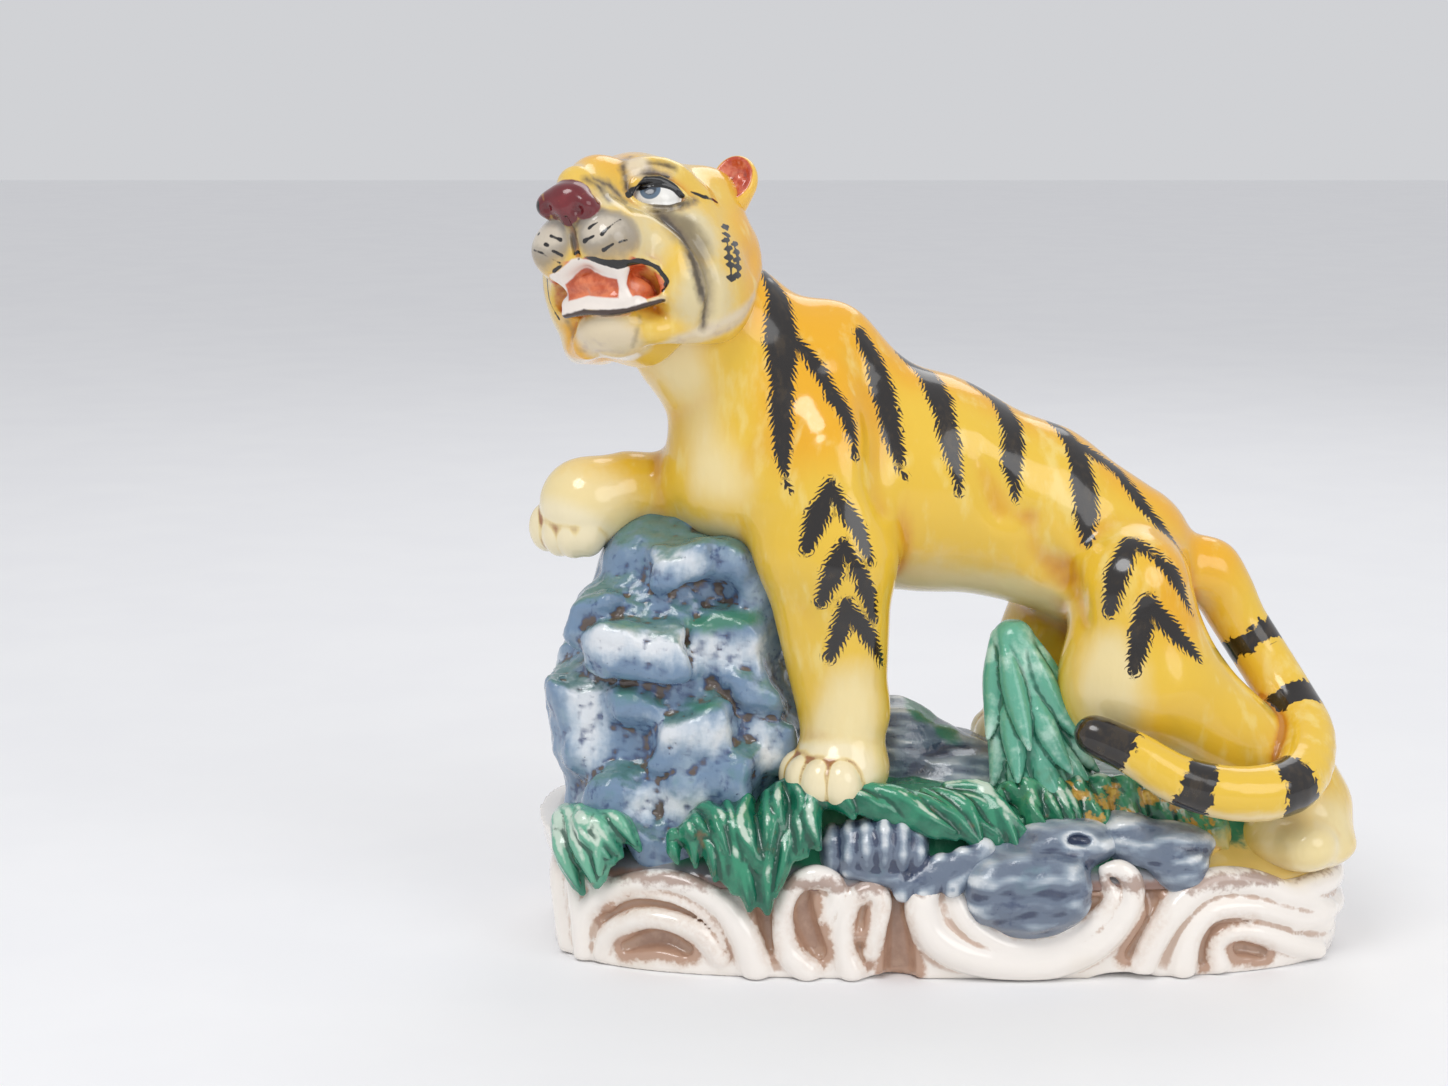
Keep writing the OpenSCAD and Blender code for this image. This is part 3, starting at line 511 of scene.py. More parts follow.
# Head in its own frame: x ahead, y to its left, z up
TURN, LIFT, LEAN = math.radians(31), math.radians(26), math.radians(13)
head_at = vec(-98, -8, 193)
ahead = vec(-math.sin(TURN) * math.cos(LIFT), -math.cos(TURN) * math.cos(LIFT), math.sin(LIFT))
side0 = vec(math.cos(TURN), -math.sin(TURN), 0)
up0 = np.cross(ahead, side0)
up0 = up0 * np.sign(up0[2])
side = math.cos(LEAN) * side0 + math.sin(LEAN) * up0
up = math.cos(LEAN) * up0 - math.sin(LEAN) * side0
head_axes = np.array([ahead, side, up])


def from_head(points):
    return head_at + np.asarray(points) @ head_axes


def pair(x, y, z, radii, k, shift=0.0):
    return [(vec(x, s * y + shift, z), vec(*radii), k) for s in (-1, 1)]


HEAD_W = 66.0
CHEEK_SHIFT = 0.03 * HEAD_W
skull = [(vec(-4, 0, 8), vec(29, 0.42 * HEAD_W, 26.8), 1)]
skull += pair(2, 0.285 * HEAD_W, -11, (21, 0.17 * HEAD_W, 18.5), 10, CHEEK_SHIFT)
skull += pair(-8, 0.335 * HEAD_W, -11, (13, 0.12 * HEAD_W, 15), 8, CHEEK_SHIFT)
skull += pair(13, 10.5, 18.5, (10, 9, 8), 6)
skull += pair(-15, 0.32 * HEAD_W, 8, (12, 9, 12), 6, 0.5 * CHEEK_SHIFT)
skull += [(vec(-12, -13, 21), 11.5, vec(-12, 15, 22.5), 12, 6),
          (vec(10, 0, 21), 10.2, vec(40, -0.5, 8.4), 6.4, 7),
          (vec(27, -0.5, 15.3), vec(10, 8.4, 8), 5),
          (vec(6, 0, 0), 18, vec(32, 0, -3), 11.5, 7),
          (vec(31, 8.5, -4), 7.5, vec(12, 16, -6), 11, 5),
          (vec(31, -8.5, -4), 7.5, vec(12, -15, -6), 11, 5),
          (vec(22, 0, -15), vec(15, 17, 9), 5),
          (vec(0, 0, -21), 14, vec(12, 0.5, -26.5), 9.5, 8),
          (vec(13.5, -0.6, -29), vec(10.5, 12.4, 7.4), 3)]
pads = [(vec(33, 8.2, -9.6), vec(9.6, 8.6, 8.6), 4.5), (vec(34, -8.8, -9.2), vec(9.6, 9, 8.6), 4)]
nose = [(vec(44.4, -1.4, 2), vec(5.8, 7.8, 5.4), 2.5), (vec(43.2, 4.8, -0.8), vec(4.4, 3.8, 3.6), 2),
        (vec(45.4, -7.4, 0.8), vec(3.6, 3.4, 3.6), 2.5),
        (vec(45.6, -0.4, -1.5), 3.6, vec(43.6, 0, -6), 1.6, 2)]
eye_at, eye_radii = vec(15.8, 12.2, 10.8), vec(8.2, 9.2, 7.2)


# Lines of the face, followed by the potter's rolls and by the painter's brush
upper_gum = [(34, -9, -17.6), (36, -2, -15.8), (35.4, 5, -16.6), (31, 10.5, -17.8)]
gum_post = [(30.5, 10.6, -18), (28.6, 10.2, -21.4), (25.6, 9.6, -25)]
far_post = [(35, -9.4, -18), (32, -10, -21.4), (27, -10.8, -25)]
lower_gum = [(26, -11, -25.2), (28, -1, -24.6), (25.8, 8, -25.4), (23, 13.4, -25.8)]
tongue = [(31, -5, -19.6), (31, 0, -19.4), (29.5, 5.6, -20.4)]
lower_lip = [(25.5, -12, -28.2), (27, -3, -27.6), (25.4, 5, -28.4), (22, 13, -28), (18, 18, -23.6)]
mouth_corner = [(31, 14, -15.5), (24, 18.5, -14.6), (18, 21, -16.4), (16, 21, -19.5), (18, 18.5, -23)]
philtrum = [(47, 0, -6), (44, 0, -10), (41, 0, -16)]
cleft = [(46, 0.5, -5), (43.8, 1, -6.8), (40.4, -0.5, -9.7), (38.9, -1, -13)]
cheek_fold = [(23, 17.5, 4), (17, 21, -3), (12, 24, -10), (7, 26, -18), (4, 25, -27)]
upper_lid = [(26, 8.6, 9.4), (26, 12.4, 13.8), (21.5, 17.6, 15.4), (15.5, 21, 13.4), (11.5, 22.4, 10.6)]
lower_lid = [(26.2, 9, 8.2), (25, 14.6, 6.6), (19, 19.8, 6.4), (14, 22, 8.4), (11.5, 22.4, 10.6)]
brow_line = [(27, 6.5, 14), (23.5, 12, 19.5), (14, 19, 20.5), (5, 23, 16.5)]
iris_at = (23.4, 15.5, 11.8)
mouth_at, mouth_radii = vec(34, 0.5, -20.2), vec(24.5, 24, 6.8)


def mirrored(points, s):
    return [vec(p[0], s * p[1], p[2]) for p in points]


def tiger_head():
    clay = Clay((-40, -42, -48), (53, 42, 44), 0.5)
    clay.add(skull)
    # Rolled edge of the ruff, lower and fuller on the near side
    near_ruff = [(12, 13, -31), (1, 21, -26.4), (-8, 26, -18.5), (-15, 28, -8), (-20, 27.4, 1),
                 (-22, 25, 10)]
    far_ruff = [(12, -12, -32), (4, -19, -28), (-6, -24, -20), (-14, -26, -9), (-20, -25, 2),
                (-22, -22, 10)]
    for line in (near_ruff, far_ruff):
        roll(clay, line, [3.5, 4.5, 4.8, 4.6, 4.2, 3], 5)
    # Open mouth, no deeper than the potter's tool
    x, y, z = clay.everywhere()
    recess = -ball(x, y, z, mouth_at, mouth_radii)
    clay.depth = np.minimum(soft_max(clay.depth, recess, 1.2), clay.depth + 5)
    # Gums, tongue and lips
    clay.add([(vec(19.5, 0.5, -20), vec(11, 14.5, 6), 1)])
    tongue_tip = [(29, 1, -22), (29.4, 5, -20.6)]
    for line, sink, radii, k in ((upper_gum, 0.8, [2.6, 2.8, 2.8, 2.4], 1.6),
                                 (gum_post, 0.4, [2.2, 1.5, 2.2], 1.6),
                                 (far_post, 0.4, [2, 1.4, 2], 1.6),
                                 (lower_gum, 0.6, [2.4, 2.6, 2.6, 2.2], 1.6),
                                 (tongue, -0.1, [1.8, 2.4, 1.6], 1.4), (tongue_tip, 0.0, [1.4, 1.1], 1),
                                 (lower_lip, -0.3, [1.5, 2.1, 2.2, 2.0, 1.2], 1.2),
                                 (mouth_corner, -0.2, [1, 1.2, 1.2, 1.1, 1], 1)):
        roll(clay, clay.settle(line, sink), radii, k)
    clay.add(pads + nose)
    # Philtrum, nostrils and the folds beside the muzzle
    roll(clay, clay.settle(philtrum, 0.4), [0.6, 0.9, 1], 1.2, cut=True)
    clay.cut([(vec(47.2, 4, -3.2), vec(2.6, 1.6, 1.2), 1.5),
              (vec(49.3, -6, -1.6), vec(2.2, 1.4, 1.2), 1.5)])
    for s in (-1, 1):
        roll(clay, clay.settle(mirrored(cheek_fold, s), -0.6), [1.4, 1.8, 1.8, 1.6, 1.2], 4, cut=True)
        # Eye under its brow, between two lids
        clay.cut([(m, vec(6, 8.4, 4.8), 3) for m in mirrored([eye_at + vec(5, 4, 0.2)], s)])
        clay.add([(m, eye_radii, 0.6) for m in mirrored([eye_at], s)])
        roll(clay, mirrored(brow_line, s), [2, 3.2, 3.2, 2], 4)
        roll(clay, clay.settle(mirrored(upper_lid, s), -0.4), [0.8, 1.4, 1.5, 1.3, 0.6], 0.8)
        roll(clay, clay.settle(mirrored(lower_lid, s), -0.3), [0.8, 1.2, 1.2, 1, 0.6], 0.8)
    return clay


head_clay = tiger_head()
head = head_clay.mesh("tiger_head", from_head)
head.relax(2)

# Ears with their cups, the near one first
ear_at = {1: vec(-14, 25, 29), -1: vec(-12, -22, 29)}


def ear_cup(s, k):
    return [(ear_at[s] + vec(4.4, s, 0.6), vec(4.6, 6, 7.3), k)]


def tiger_ear(s):
    base = ear_at[s]
    clay = Clay(base - 16, base + 16, 0.5)
    clay.add([(base, vec(5, 8, 9.1), 1), (base + vec(-1, -4 * s, -7), vec(6, 7, 6), 4)])
    clay.cut(ear_cup(s, 1.5))
    clay.add([(base + vec(0, -2 * s, -5), 1.8, base + vec(1, 2 * s, 1), 1.3, 1.5),
              (base + vec(0, 2 * s, -5), 1.6, base + vec(1, 3.6 * s, -1), 1.1, 1.5)])
    return clay


ears = [tiger_ear(s).mesh(name, from_head) for s, name in ((1, "left_ear_skin"), (-1, "right_ear_skin"))]


# Crag of stepped blocks under the raised paw
def crag_lump(sx, sy, sz, rx, ry, rz, k):
    return (vec(CRAG_X + CRAG_W * sx, CRAG_D * sy - 4, CRAG_H * sz),
            vec(CRAG_W * rx, CRAG_D * ry, CRAG_H * rz), k)


def rock_crag():
    clay = Clay((-136, -50, -1), (-42, 38, 116), 0.9)
    shape = clay.depth.shape
    x, y, z = [np.broadcast_to(v, shape) for v in clay.everywhere()]
    # Everything is pulled about a little, so that no ledge stays a plain block
    wx = x + 2.4 * np.sin(0.115 * z + 0.06 * y + 1) + 1.2 * np.sin(0.21 * y + 0.1 * z)
    wy = y + 1.6 * np.sin(0.12 * x + 0.09 * z) + 0.8 * np.sin(0.3 * x + 2)
    wz = z + 3.0 * np.sin(0.085 * x + 0.07 * y) + 1.4 * np.sin(0.2 * x + 0.5)
    # Lumps as shares of the crag's width, depth and height, and ledges in mm
    masses = [(0, 0.02, 0.36, 0.38, 0.40, 0.44, 4), (-0.02, 0.06, 0.76, 0.32, 0.33, 0.24, 5),
              (-0.24, -0.02, 0.42, 0.23, 0.28, 0.24, 4), (0.30, -0.02, 0.40, 0.22, 0.30, 0.30, 4),
              (-0.20, -0.06, 0.17, 0.20, 0.27, 0.17, 4), (0.06, -0.16, 0.20, 0.32, 0.22, 0.20, 4),
              (0.20, 0.24, 0.30, 0.30, 0.26, 0.28, 4), (-0.18, 0.26, 0.40, 0.26, 0.24, 0.24, 4),
              (0.02, 0.12, 0.62, 0.36, 0.30, 0.20, 6), (0.32, -0.06, 0.68, 0.15, 0.22, 0.22, 5),
              (0.26, -0.06, 0.84, 0.14, 0.20, 0.12, 5)]
    ledges = [((-89, -19, 98), (9.5, 11, 6.5), 4), ((-97, -21, 74), (16, 15, 9.5), 4.5),
              ((-68, -16, 70), (13, 14, 9.5), 4.5), ((-118, -11, 49), (9.5, 13, 15), 5),
              ((-84.5, -24, 45), (12, 15, 9), 4.5), ((-58, -19, 40), (6.5, 12, 9.5), 4),
              ((-101, -25, 26), (13, 12, 8.5), 5), ((-74, -28, 27), (14, 12, 10.5), 5),
              ((-87, -31, 12), (16, 10, 8), 5), ((-114, -16, 84), (7.5, 12, 8.5), 5),
              ((-75, -17, 96), (8, 10, 6), 4), ((-63, -22, 56), (8, 11, 6), 4),
              ((-103, -22, 56), (8, 12, 5), 3.5), ((-110, 14, 60), (14, 14, 12), 5),
              ((-76, 18, 72), (15, 13, 10), 5), ((-92, 24, 40), (16, 9, 12), 5),
              ((-66, 22, 34), (12, 10, 10), 5), ((-114, 16, 26), (11, 12, 10), 5),
              ((-96, 14, 92), (13, 13, 8), 5)]
    for row in masses:
        m = crag_lump(*row)
        clay.depth = soft_min(clay.depth, muscle(wx, wy, wz, m), m[-1])
    for centre, half, edge in ledges:
        clay.depth = soft_min(clay.depth, block(wx, wy, wz, vec(*centre), vec(*half), edge + 0.6), 5.0)
    near = np.abs(clay.depth) < 4
    points = np.stack([x[near], y[near], z[near]], axis=1)
    clay.depth[near] += 0.9 * waves(points, 17, 3, 2) + 0.45 * waves(points * vec(1, 1, 1.6), 6, 5, 2)
    clay.depth = np.clip(clay.depth, -FAR, FAR)
    # Seat on the ground
    clay.depth = np.maximum(clay.depth, ground_at(x, y) - SEAT - z).astype(np.float32)
    return clay


crag = rock_crag().mesh("crag_rock")


# Plinth wall with its rolls; heights here are from the deck, and the table is one plinth height below
def wall_bulge(z):
    rise = np.maximum(z + PLINTH_H - SWELL_FROM * PLINTH_H, 0) / (SWELL_FROM * PLINTH_H)
    return -SWELL * rise ** 2


def wall_y(x, z):
    half_x, half_y = PLINTH_L / 2 + wall_bulge(z), PLINTH_W / 2 + wall_bulge(z)
    return half_y * max(1 - min(abs(x) / half_x, 1) ** PLAN_POWER, 0) ** (1 / PLAN_POWER)


def on_wall(line, sink, back=False):
    """Points of a wall line, given as x and height over the table, sunk a little under the wall."""
    points = []
    for px, pz in line:
        z = pz - PLINTH_H
        y = wall_y(px, min(z, 0)) - sink
        points.append((px, y if back else -y, z))
    return points


def on_end(line, sink, end):
    """Points of a line round one end: a turn from the long axis, a height over the table and a way out."""
    points = []
    for turn, pz, out in line:
        z = pz - PLINTH_H
        half_x, half_y = PLINTH_L / 2 + wall_bulge(min(z, 0)), PLINTH_W / 2 + wall_bulge(min(z, 0))
        c, s = math.cos(math.radians(turn)), math.sin(math.radians(turn))
        px = end * (half_x * abs(c) ** (2 / PLAN_POWER) - sink + out)
        points.append((px, math.copysign(half_y * abs(s) ** (2 / PLAN_POWER), s), z))
    return points


front_rolls = [
    ([(-117, 2.5), (-115.6, 16), (-105.6, 25.6), (-89, 29.5), (-74, 23.8), (-66, 14), (-62, 3)],
     [3.4, 3.6, 3.6, 3.6, 4, 4.6, 5]),
    ([(-109, 20), (-99.3, 24.4), (-87, 23.6), (-76, 17.6), (-71, 8)], [0.8, 1.4, 1.4, 1.3, 0.8]),
    ([(-111.2, 3.4), (-107, 12.4), (-95.2, 17.4), (-81, 14.4), (-73.4, 5.5)], [2.6, 3, 3.2, 3.2, 2.8]),
    ([(-46, 2.5), (-52.6, 9.6), (-53.6, 21), (-50.3, 29), (-43.4, 32.5), (-37, 29.5), (-37.6, 24),
      (-41.3, 19)],
     [4.6, 3.6, 3.2, 3.4, 3.8, 3.4, 2.4, 0.9]),
    ([(-32, 2.5), (-34.3, 9.5), (-34.3, 18.8), (-31.3, 25.6), (-26, 28), (-22.8, 25), (-23.6, 17),
      (-26, 8.5)],
     [4.4, 3, 2.6, 3.2, 3.8, 3.4, 2.6, 2.2]),
    ([(-7, 31), (-10.4, 24), (-6, 13.6), (7, 6.8), (28, 5), (44.5, 11.2), (53.8, 21.6), (56, 29.6),
      (52, 34.6), (46.8, 34.4)], [3.8, 5.4, 5.6, 5.6, 5.4, 4.6, 4, 3.8, 3.2, 2]),
    ([(-0.5, 27.5), (2.6, 20.6), (8.4, 14.4), (19.7, 10), (35.3, 12), (45.4, 19.6), (49.4, 26), (46.8, 31)],
     [2.4, 3.4, 3.4, 3, 2.8, 2.8, 2.6, 1.6]),
    ([(59, 2.4), (62.6, 11.6), (69.5, 22), (80, 29), (93.5, 28.4), (107, 23), (121, 16)],
     [4, 4.2, 4.6, 4.8, 4.6, 4.2, 3.6]),
    ([(72, 3), (74.2, 13.4), (80.8, 20.4), (93.2, 21), (107.4, 16.4), (121.4, 10.6)],
     [4.6, 4, 3.6, 3.4, 3.4, 3]),
    ([(84, 2.5), (82.8, 9.2), (87.5, 13.2), (96.4, 12.4), (107.6, 7.6), (117.6, 3)],
     [3, 2.2, 2.4, 3, 3.6, 3.6])]
# Hollows that the rolls stand around
wall_hollows = [
    ([(-110, 15), (-101, 21.5), (-88, 21), (-78, 15.4), (-73, 8)], [1.6, 2.2, 2.4, 2.2, 1.6]),
    ([(-103, 7), (-93, 11), (-84, 8)], [2, 4, 2.4]),
    ([(-47.6, 27), (-47, 19), (-43, 9)], [3, 4, 3.4]),
    ([(-28.8, 24), (-29.4, 17)], [1.6, 1.2]), ([(-29.4, 10.4), (-28.8, 6)], [1.6, 1.4]),
    ([(-18.6, 27), (-17.4, 14), (-17, 4)], [4, 4.4, 5]),
    ([(-59.4, 24), (-57.4, 10)], [3.4, 2.4]),
    ([(60.6, 29), (62.6, 20), (55.6, 8)], [3.4, 2.4, 2]),
    ([(40.5, 24), (46.5, 25)], [2.2, 1.6]),
    ([(78.4, 5), (78.6, 12.4), (84, 17.6), (93, 17.4)], [1.6, 2, 1.8, 1]),
    ([(91, 8), (98, 6)], [2.6, 2])]
# The two ear-like scrolls and their hollows are on the front alone
FRONT_ROLLS, FRONT_HOLLOWS = (3, 4), (2, 3, 4)
ROLL_SINK = 0.8

# Rolls of the head end, under a lip, and of the tail end, where they go on from the front scrolls
lip = [(-36, 26, 0), (-30, 33, 2), (-18, 39, 4.5), (0, 41, 5), (18, 39, 4.5), (30, 33, 2), (36, 26, 0)]
end_rolls = [
    (lip, [2.4, 2.8, 3, 3, 3, 2.8, 2.4]),
    ([(turn, height - 5, out - 2.5) for turn, height, out in lip], [3.4, 4, 4.4, 4.4, 4.4, 4, 3.4]),
    ([(-30, 2.5, 0), (-27, 17, 0), (-19, 28, 0), (-7, 33, 0), (7, 33, 0), (19, 28, 0), (27, 17, 0),
      (30, 2.5, 0)],
     [3, 3.2, 3.2, 3.4, 3.4, 3.2, 3.2, 3]),
    ([(-20, 3, 0), (-16, 16, 0), (-7, 24, 0), (7, 24, 0), (16, 16, 0), (20, 3, 0)],
     [3, 3.2, 3.4, 3.4, 3.2, 3])]
tail_end_rolls = [
    ([(-42, 23, -1.5), (-30, 24.5, 0), (-15, 24.5, 0.6), (0, 24.5, 0.6), (15, 24.5, 0.6), (30, 24.5, 0),
      (42, 23, -1.5)],
     [3, 4, 4.4, 4.4, 4.4, 4, 3]),
    ([(-38, 14, -1), (-24, 15, 0), (-8, 15, 0), (8, 15, 0), (24, 15, 0), (38, 14, -1)],
     [2.6, 3.4, 3.8, 3.8, 3.4, 2.6]),
    ([(-34, 5, -2), (-16, 6, -1.6), (0, 6, -1.6), (16, 6, -1.6), (34, 5, -2)], [2, 3, 3, 3, 2])]

# Places where the foot arches off the table, as x, half length and height
foot_arches = [(-92, 15, 2.4), (-19, 9, 1.8), (54, 12, 2.2), (90, 10, 2.2)]


def both_walls(lines, sink, front_only):
    """Lines laid on the front wall and then on the back wall, each with its radii."""
    return [(on_wall(line, sink, back), radii) for back in (False, True)
            for i, (line, radii) in enumerate(lines) if not back or i not in front_only]


WALL, ROOF = 8.0, 7.0


def plinth_skin():
    clay = Clay((-136, -62.5, -PLINTH_H - 2), (133, 60.5, 12), 1.1)
    x, y, z = clay.everywhere()
    bulge = wall_bulge(np.minimum(z, 0))
    half_x, half_y = PLINTH_L / 2 + bulge, PLINTH_W / 2 + bulge

    def wall(inset):
        hx, hy = half_x - inset, half_y - inset
        ax, ay = np.abs(x) / hx, np.abs(y) / hy
        share = (ax ** PLAN_POWER + ay ** PLAN_POWER) ** (1 / PLAN_POWER)
        slope = np.sqrt((ax ** (PLAN_POWER - 1) / hx) ** 2 + (ay ** (PLAN_POWER - 1) / hy) ** 2)
        slope = slope * np.maximum(share, 0.05) ** (1 - PLAN_POWER)
        return (share - 1) / np.maximum(slope, 1e-3)

    clay.depth = np.clip(soft_max(wall(0.0), z, 2.0), -FAR, FAR).astype(np.float32)
    for line, radii in both_walls(wall_hollows, 0.7, FRONT_HOLLOWS):
        roll(clay, line, radii, 1.2, 5, cut=True)
    for line, radii in both_walls(front_rolls, ROLL_SINK, FRONT_ROLLS):
        roll(clay, line, radii, 1.5, 5)
    for end in (-1, 1):
        for line, radii in end_rolls if end < 0 else tail_end_rolls:
            roll(clay, on_end(line, 0.5, end), radii, 1.5, 5)
    # Flat foot on the table and the hollow inside
    clay.depth = soft_max(clay.depth, (-PLINTH_H - z).astype(np.float32), 1.5)
    clay.cut([(vec(px, side_of * 58, -PLINTH_H), vec(half, 9, height), 1.0)
              for px, half, height in foot_arches for side_of in (-1, 1)])
    hollow = np.maximum(wall(WALL), z + ROOF)
    clay.depth = np.maximum(clay.depth, -np.clip(hollow, -FAR, FAR)).astype(np.float32)
    return clay


plinth = plinth_skin().mesh("plinth_scrolls")
plinth.relax(1)
plinth.points[:, 2] = np.maximum(plinth.points[:, 2], -PLINTH_H)

# Stones on the ground
ribbed_at, low_at = vec(-22, -46, 13), vec(65, -42, 12)
cradle_parts = [(vec(23, -50, 0), vec(20, 11, 11.5), 9, 2), (vec(24, -50, -6), vec(15, 11, 9.5), 3),
                (vec(24, -46, 9), vec(17, 10, 6), 4), (vec(36, -43, 13), vec(17, 10, 8), 3)]
ribbed_parts = [(ribbed_at + vec(5.2 * i, 0.6 * i * i, -0.6 * i * i),
                 vec(4.4 + 0.5 * (i % 2), 10, 11 - (i % 3)), 2.4) for i in (-3, -2, -1, 0, 1, 2)]
ribbed_parts += [(vec(-4, -50, 8), 4, vec(-16, -53, 0), 3.4, 1.5),
                 (vec(3, -50, 10), 4, vec(-10, -54, 0), 3.4, 1.5),
                 (vec(9, -48, 12), 4.4, vec(-1, -54, 2), 3.6, 1.5),
                 (vec(-18, -52, 4), 3, vec(-33, -50, 6), 2.6, 1.5)]
low_parts = [(low_at, vec(18, 10, 8), 3), (low_at + vec(-10, 2, 4), vec(9, 9, 7), 3),
             (vec(71, -47, 6), vec(9, 7.4, 8), 3)]
back_parts = [(vec(-18, 6, 35), 13, vec(26, -2, 19), 9, 4), (vec(-15, 4, 28), vec(16, 16, 20), 4),
              (vec(4, -6, 21), vec(19, 12, 13), 3), (vec(20, -8, 18), vec(14, 10, 9), 3),
              (vec(2, 14, 23), vec(22, 12, 13), 4)]


STRATA = vec(0.45, 1, 1.7)


def stone(name, parts, step, rough, seed):
    low = np.min([muscle_box(m)[0] for m in parts], axis=0) - 3
    high = np.max([muscle_box(m)[1] for m in parts], axis=0) + 3
    clay = Clay(low, high, step)
    clay.add(parts)
    if name == "cradle_rock":
        # Slot in its top
        clay.cut([(clay.settle([(39, -54, 17)])[0], vec(4, 4, 1.6), 1)])
    shape = clay.depth.shape
    points = np.stack([np.broadcast_to(v, shape).ravel() for v in clay.everywhere()], axis=1)
    layered = rough * waves(points * STRATA, 9, seed, 2)
    clay.depth += layered.reshape(shape).astype(np.float32)
    x, y, z = clay.everywhere()
    share = plan_share(x, y, DECK_X, DECK_Y)
    seat = np.where(share < 1, ground_at(x, y) - SEAT, -40.0)
    clay.depth = np.maximum(clay.depth, (seat - z).astype(np.float32))
    return clay.mesh(name)


stones = {"cradle_stone": stone("cradle_rock", cradle_parts, 0.9, 0.55, 11),
          "ribbed_stone": stone("ribbed_rock", ribbed_parts, 0.8, 0.3, 12),
          "low_stone": stone("low_rock", low_parts, 0.9, 0.5, 13),
          "back_boulder": stone("back_rock", back_parts, 1.0, 0.6, 14)}

# Leafy prop: a stump clothed in rows of long leaves, each row as two shares of its height and a count
prop_foot, prop_top = vec(32, -21, 22), vec(21, -14, 72)
FOOT_R, TOP_R = 12.6, 7.2
LEAF_ROWS = ((-0.12, 0.42, 8), (0.16, 0.72, 7), (0.44, 1.04, 6))


def leafy_prop():
    clay = Clay((0, -48, 16), (64, 8, 78), 0.8)
    clay.add([(prop_foot, 13, prop_top, 7, 1)])
    axis = prop_top - prop_foot
    for row, (low, high, count) in enumerate(LEAF_ROWS):
        for i in range(count):
            turn = 2 * math.pi * (i + 0.5 * row + rng.uniform(-0.2, 0.2)) / count
            low_end = low + rng.uniform(-0.06, 0.08)
            points, radii = [], []
            for t, out, r in ((high, -1.4, 1.4), (0.6 * high + 0.4 * low_end, 0.4, 3.8),
                              (0.25 * high + 0.75 * low_end, 2.6, 3.2), (low_end, 6.6, 0.9)):
                r0 = FOOT_R + t * (TOP_R - FOOT_R) + out
                a = turn + 0.6 * (high - t)
                points.append(prop_foot + t * axis + vec(r0 * math.cos(a), 0.92 * r0 * math.sin(a), 0))
                radii.append(r)
            roll(clay, points, radii, 0.6, 4)
    x, y, z = clay.everywhere()
    clay.depth = np.maximum(clay.depth, (ground_at(x, y) - SEAT - z).astype(np.float32))
    return clay


prop = leafy_prop().mesh("leafy_stump")


# Mounded ground with a gentle relief
def ground_skin():
    turns, rings = 220, 52
    angle = 2 * math.pi * np.arange(turns) / turns
    c, s = np.cos(angle), np.sin(angle)
    ex = DECK_X * np.sign(c) * np.abs(c) ** (2 / PLAN_POWER)
    ey = DECK_Y * np.sign(s) * np.abs(s) ** (2 / PLAN_POWER)
    share = np.concatenate([np.linspace(0.04, 0.9, rings - 10),
                            1 - 0.1 * (1 - np.linspace(0.1, 1, 10)) ** 1.6])
    x, y = share[:, None] * ex[None], share[:, None] * ey[None]
    points = np.stack([x.ravel(), y.ravel(), np.zeros(x.size)], axis=1)
    relief = 1.1 * waves(points, 26, 21, 2) + 0.45 * waves(points, 7, 22, 2)
    points[:, 2] = np.maximum(ground_at(points[:, 0], points[:, 1])
                              + relief * (1 - np.repeat(share, turns) ** 6), 0.3)
    bottom = np.stack([ex * 0.999, ey * 0.999, np.zeros(turns)], axis=1)
    points = np.concatenate([points, bottom])
    faces = []
    for r in range(rings):
        for i in range(turns):
            j = (i + 1) % turns
            faces.append((r * turns + i, (r + 1) * turns + i, (r + 1) * turns + j, r * turns + j))
    skin = Skin("ground_skin", points, np.array(faces))
    skin.caps = [list(range(turns)), [rings * turns + i for i in reversed(range(turns))]]
    return skin


ground = ground_skin()


# Grass: blades pressed side by side into a mat of clay
class Tuft:
    def __init__(self):
        self.blades = []

    def blade(self, root, middle, tip, width, sink):
        self.blades.append(([root, middle, tip], [0.3 * width, 0.42 * width, 0.1 * width], sink))

    def mesh(self, name, step):
        ends = np.array([p for line, radii, sink in self.blades for p in line])
        clay = Clay(ends.min(0) - 8, ends.max(0) + 8, step)
        for line, radii, sink in self.blades:
            bed = [np.array(p) - 0.95 * sink for p in line]
            roll(clay, bed, [1.15 * r + 0.4 for r in radii], 3.0, 4)
        for line, radii, sink in self.blades:
            roll(clay, line, radii, 0.6, 4)
        skin = clay.mesh(name)
        strokes = []
        for line, radii, sink in self.blades:
            crest = sink / np.linalg.norm(sink)
            path = smooth_path([(*(np.array(p) + r * crest), r) for p, r in zip(line, radii)], 4)
            strokes.append((path[:, :3], path[:, 3]))
        paint(skin, strokes, "blade")
        return skin


def blend_line(points, t):
    points = np.array(points, float)
    place = t * (len(points) - 1)
    i = min(int(place), len(points) - 2)
    return points[i] + (place - i) * (points[i + 1] - points[i])


def fringe(tuft, roots, tips, count, width, normal, lift, start=0.0, jitter=1.0):
    normal = vec(*normal)
    for i in range(count):
        t = np.clip((i + rng.uniform(-0.3, 0.3)) / max(count - 1, 1), 0, 1)
        a = blend_line(roots, t) + rng.normal(0, 0.7, 3) * jitter
        b = blend_line(tips, np.clip(t + rng.normal(0, 0.03), 0, 1)) + rng.normal(0, 0.8, 3) * jitter
        a = a + start * (b - a)
        b = a + rng.uniform(0.8, 1.1) * (b - a)
        bend = np.cross(b - a, normal) * rng.normal(0, 0.12)
        m = 0.5 * (a + b) + lift * normal + bend
        tuft.blade(a, m, b, width * rng.uniform(0.65, 1.25), 0.4 * width * normal)


def halfway(roots, tips, shift):
    return [0.5 * (vec(*a) + vec(*b)) + vec(*shift) for a, b in zip(roots, tips)]


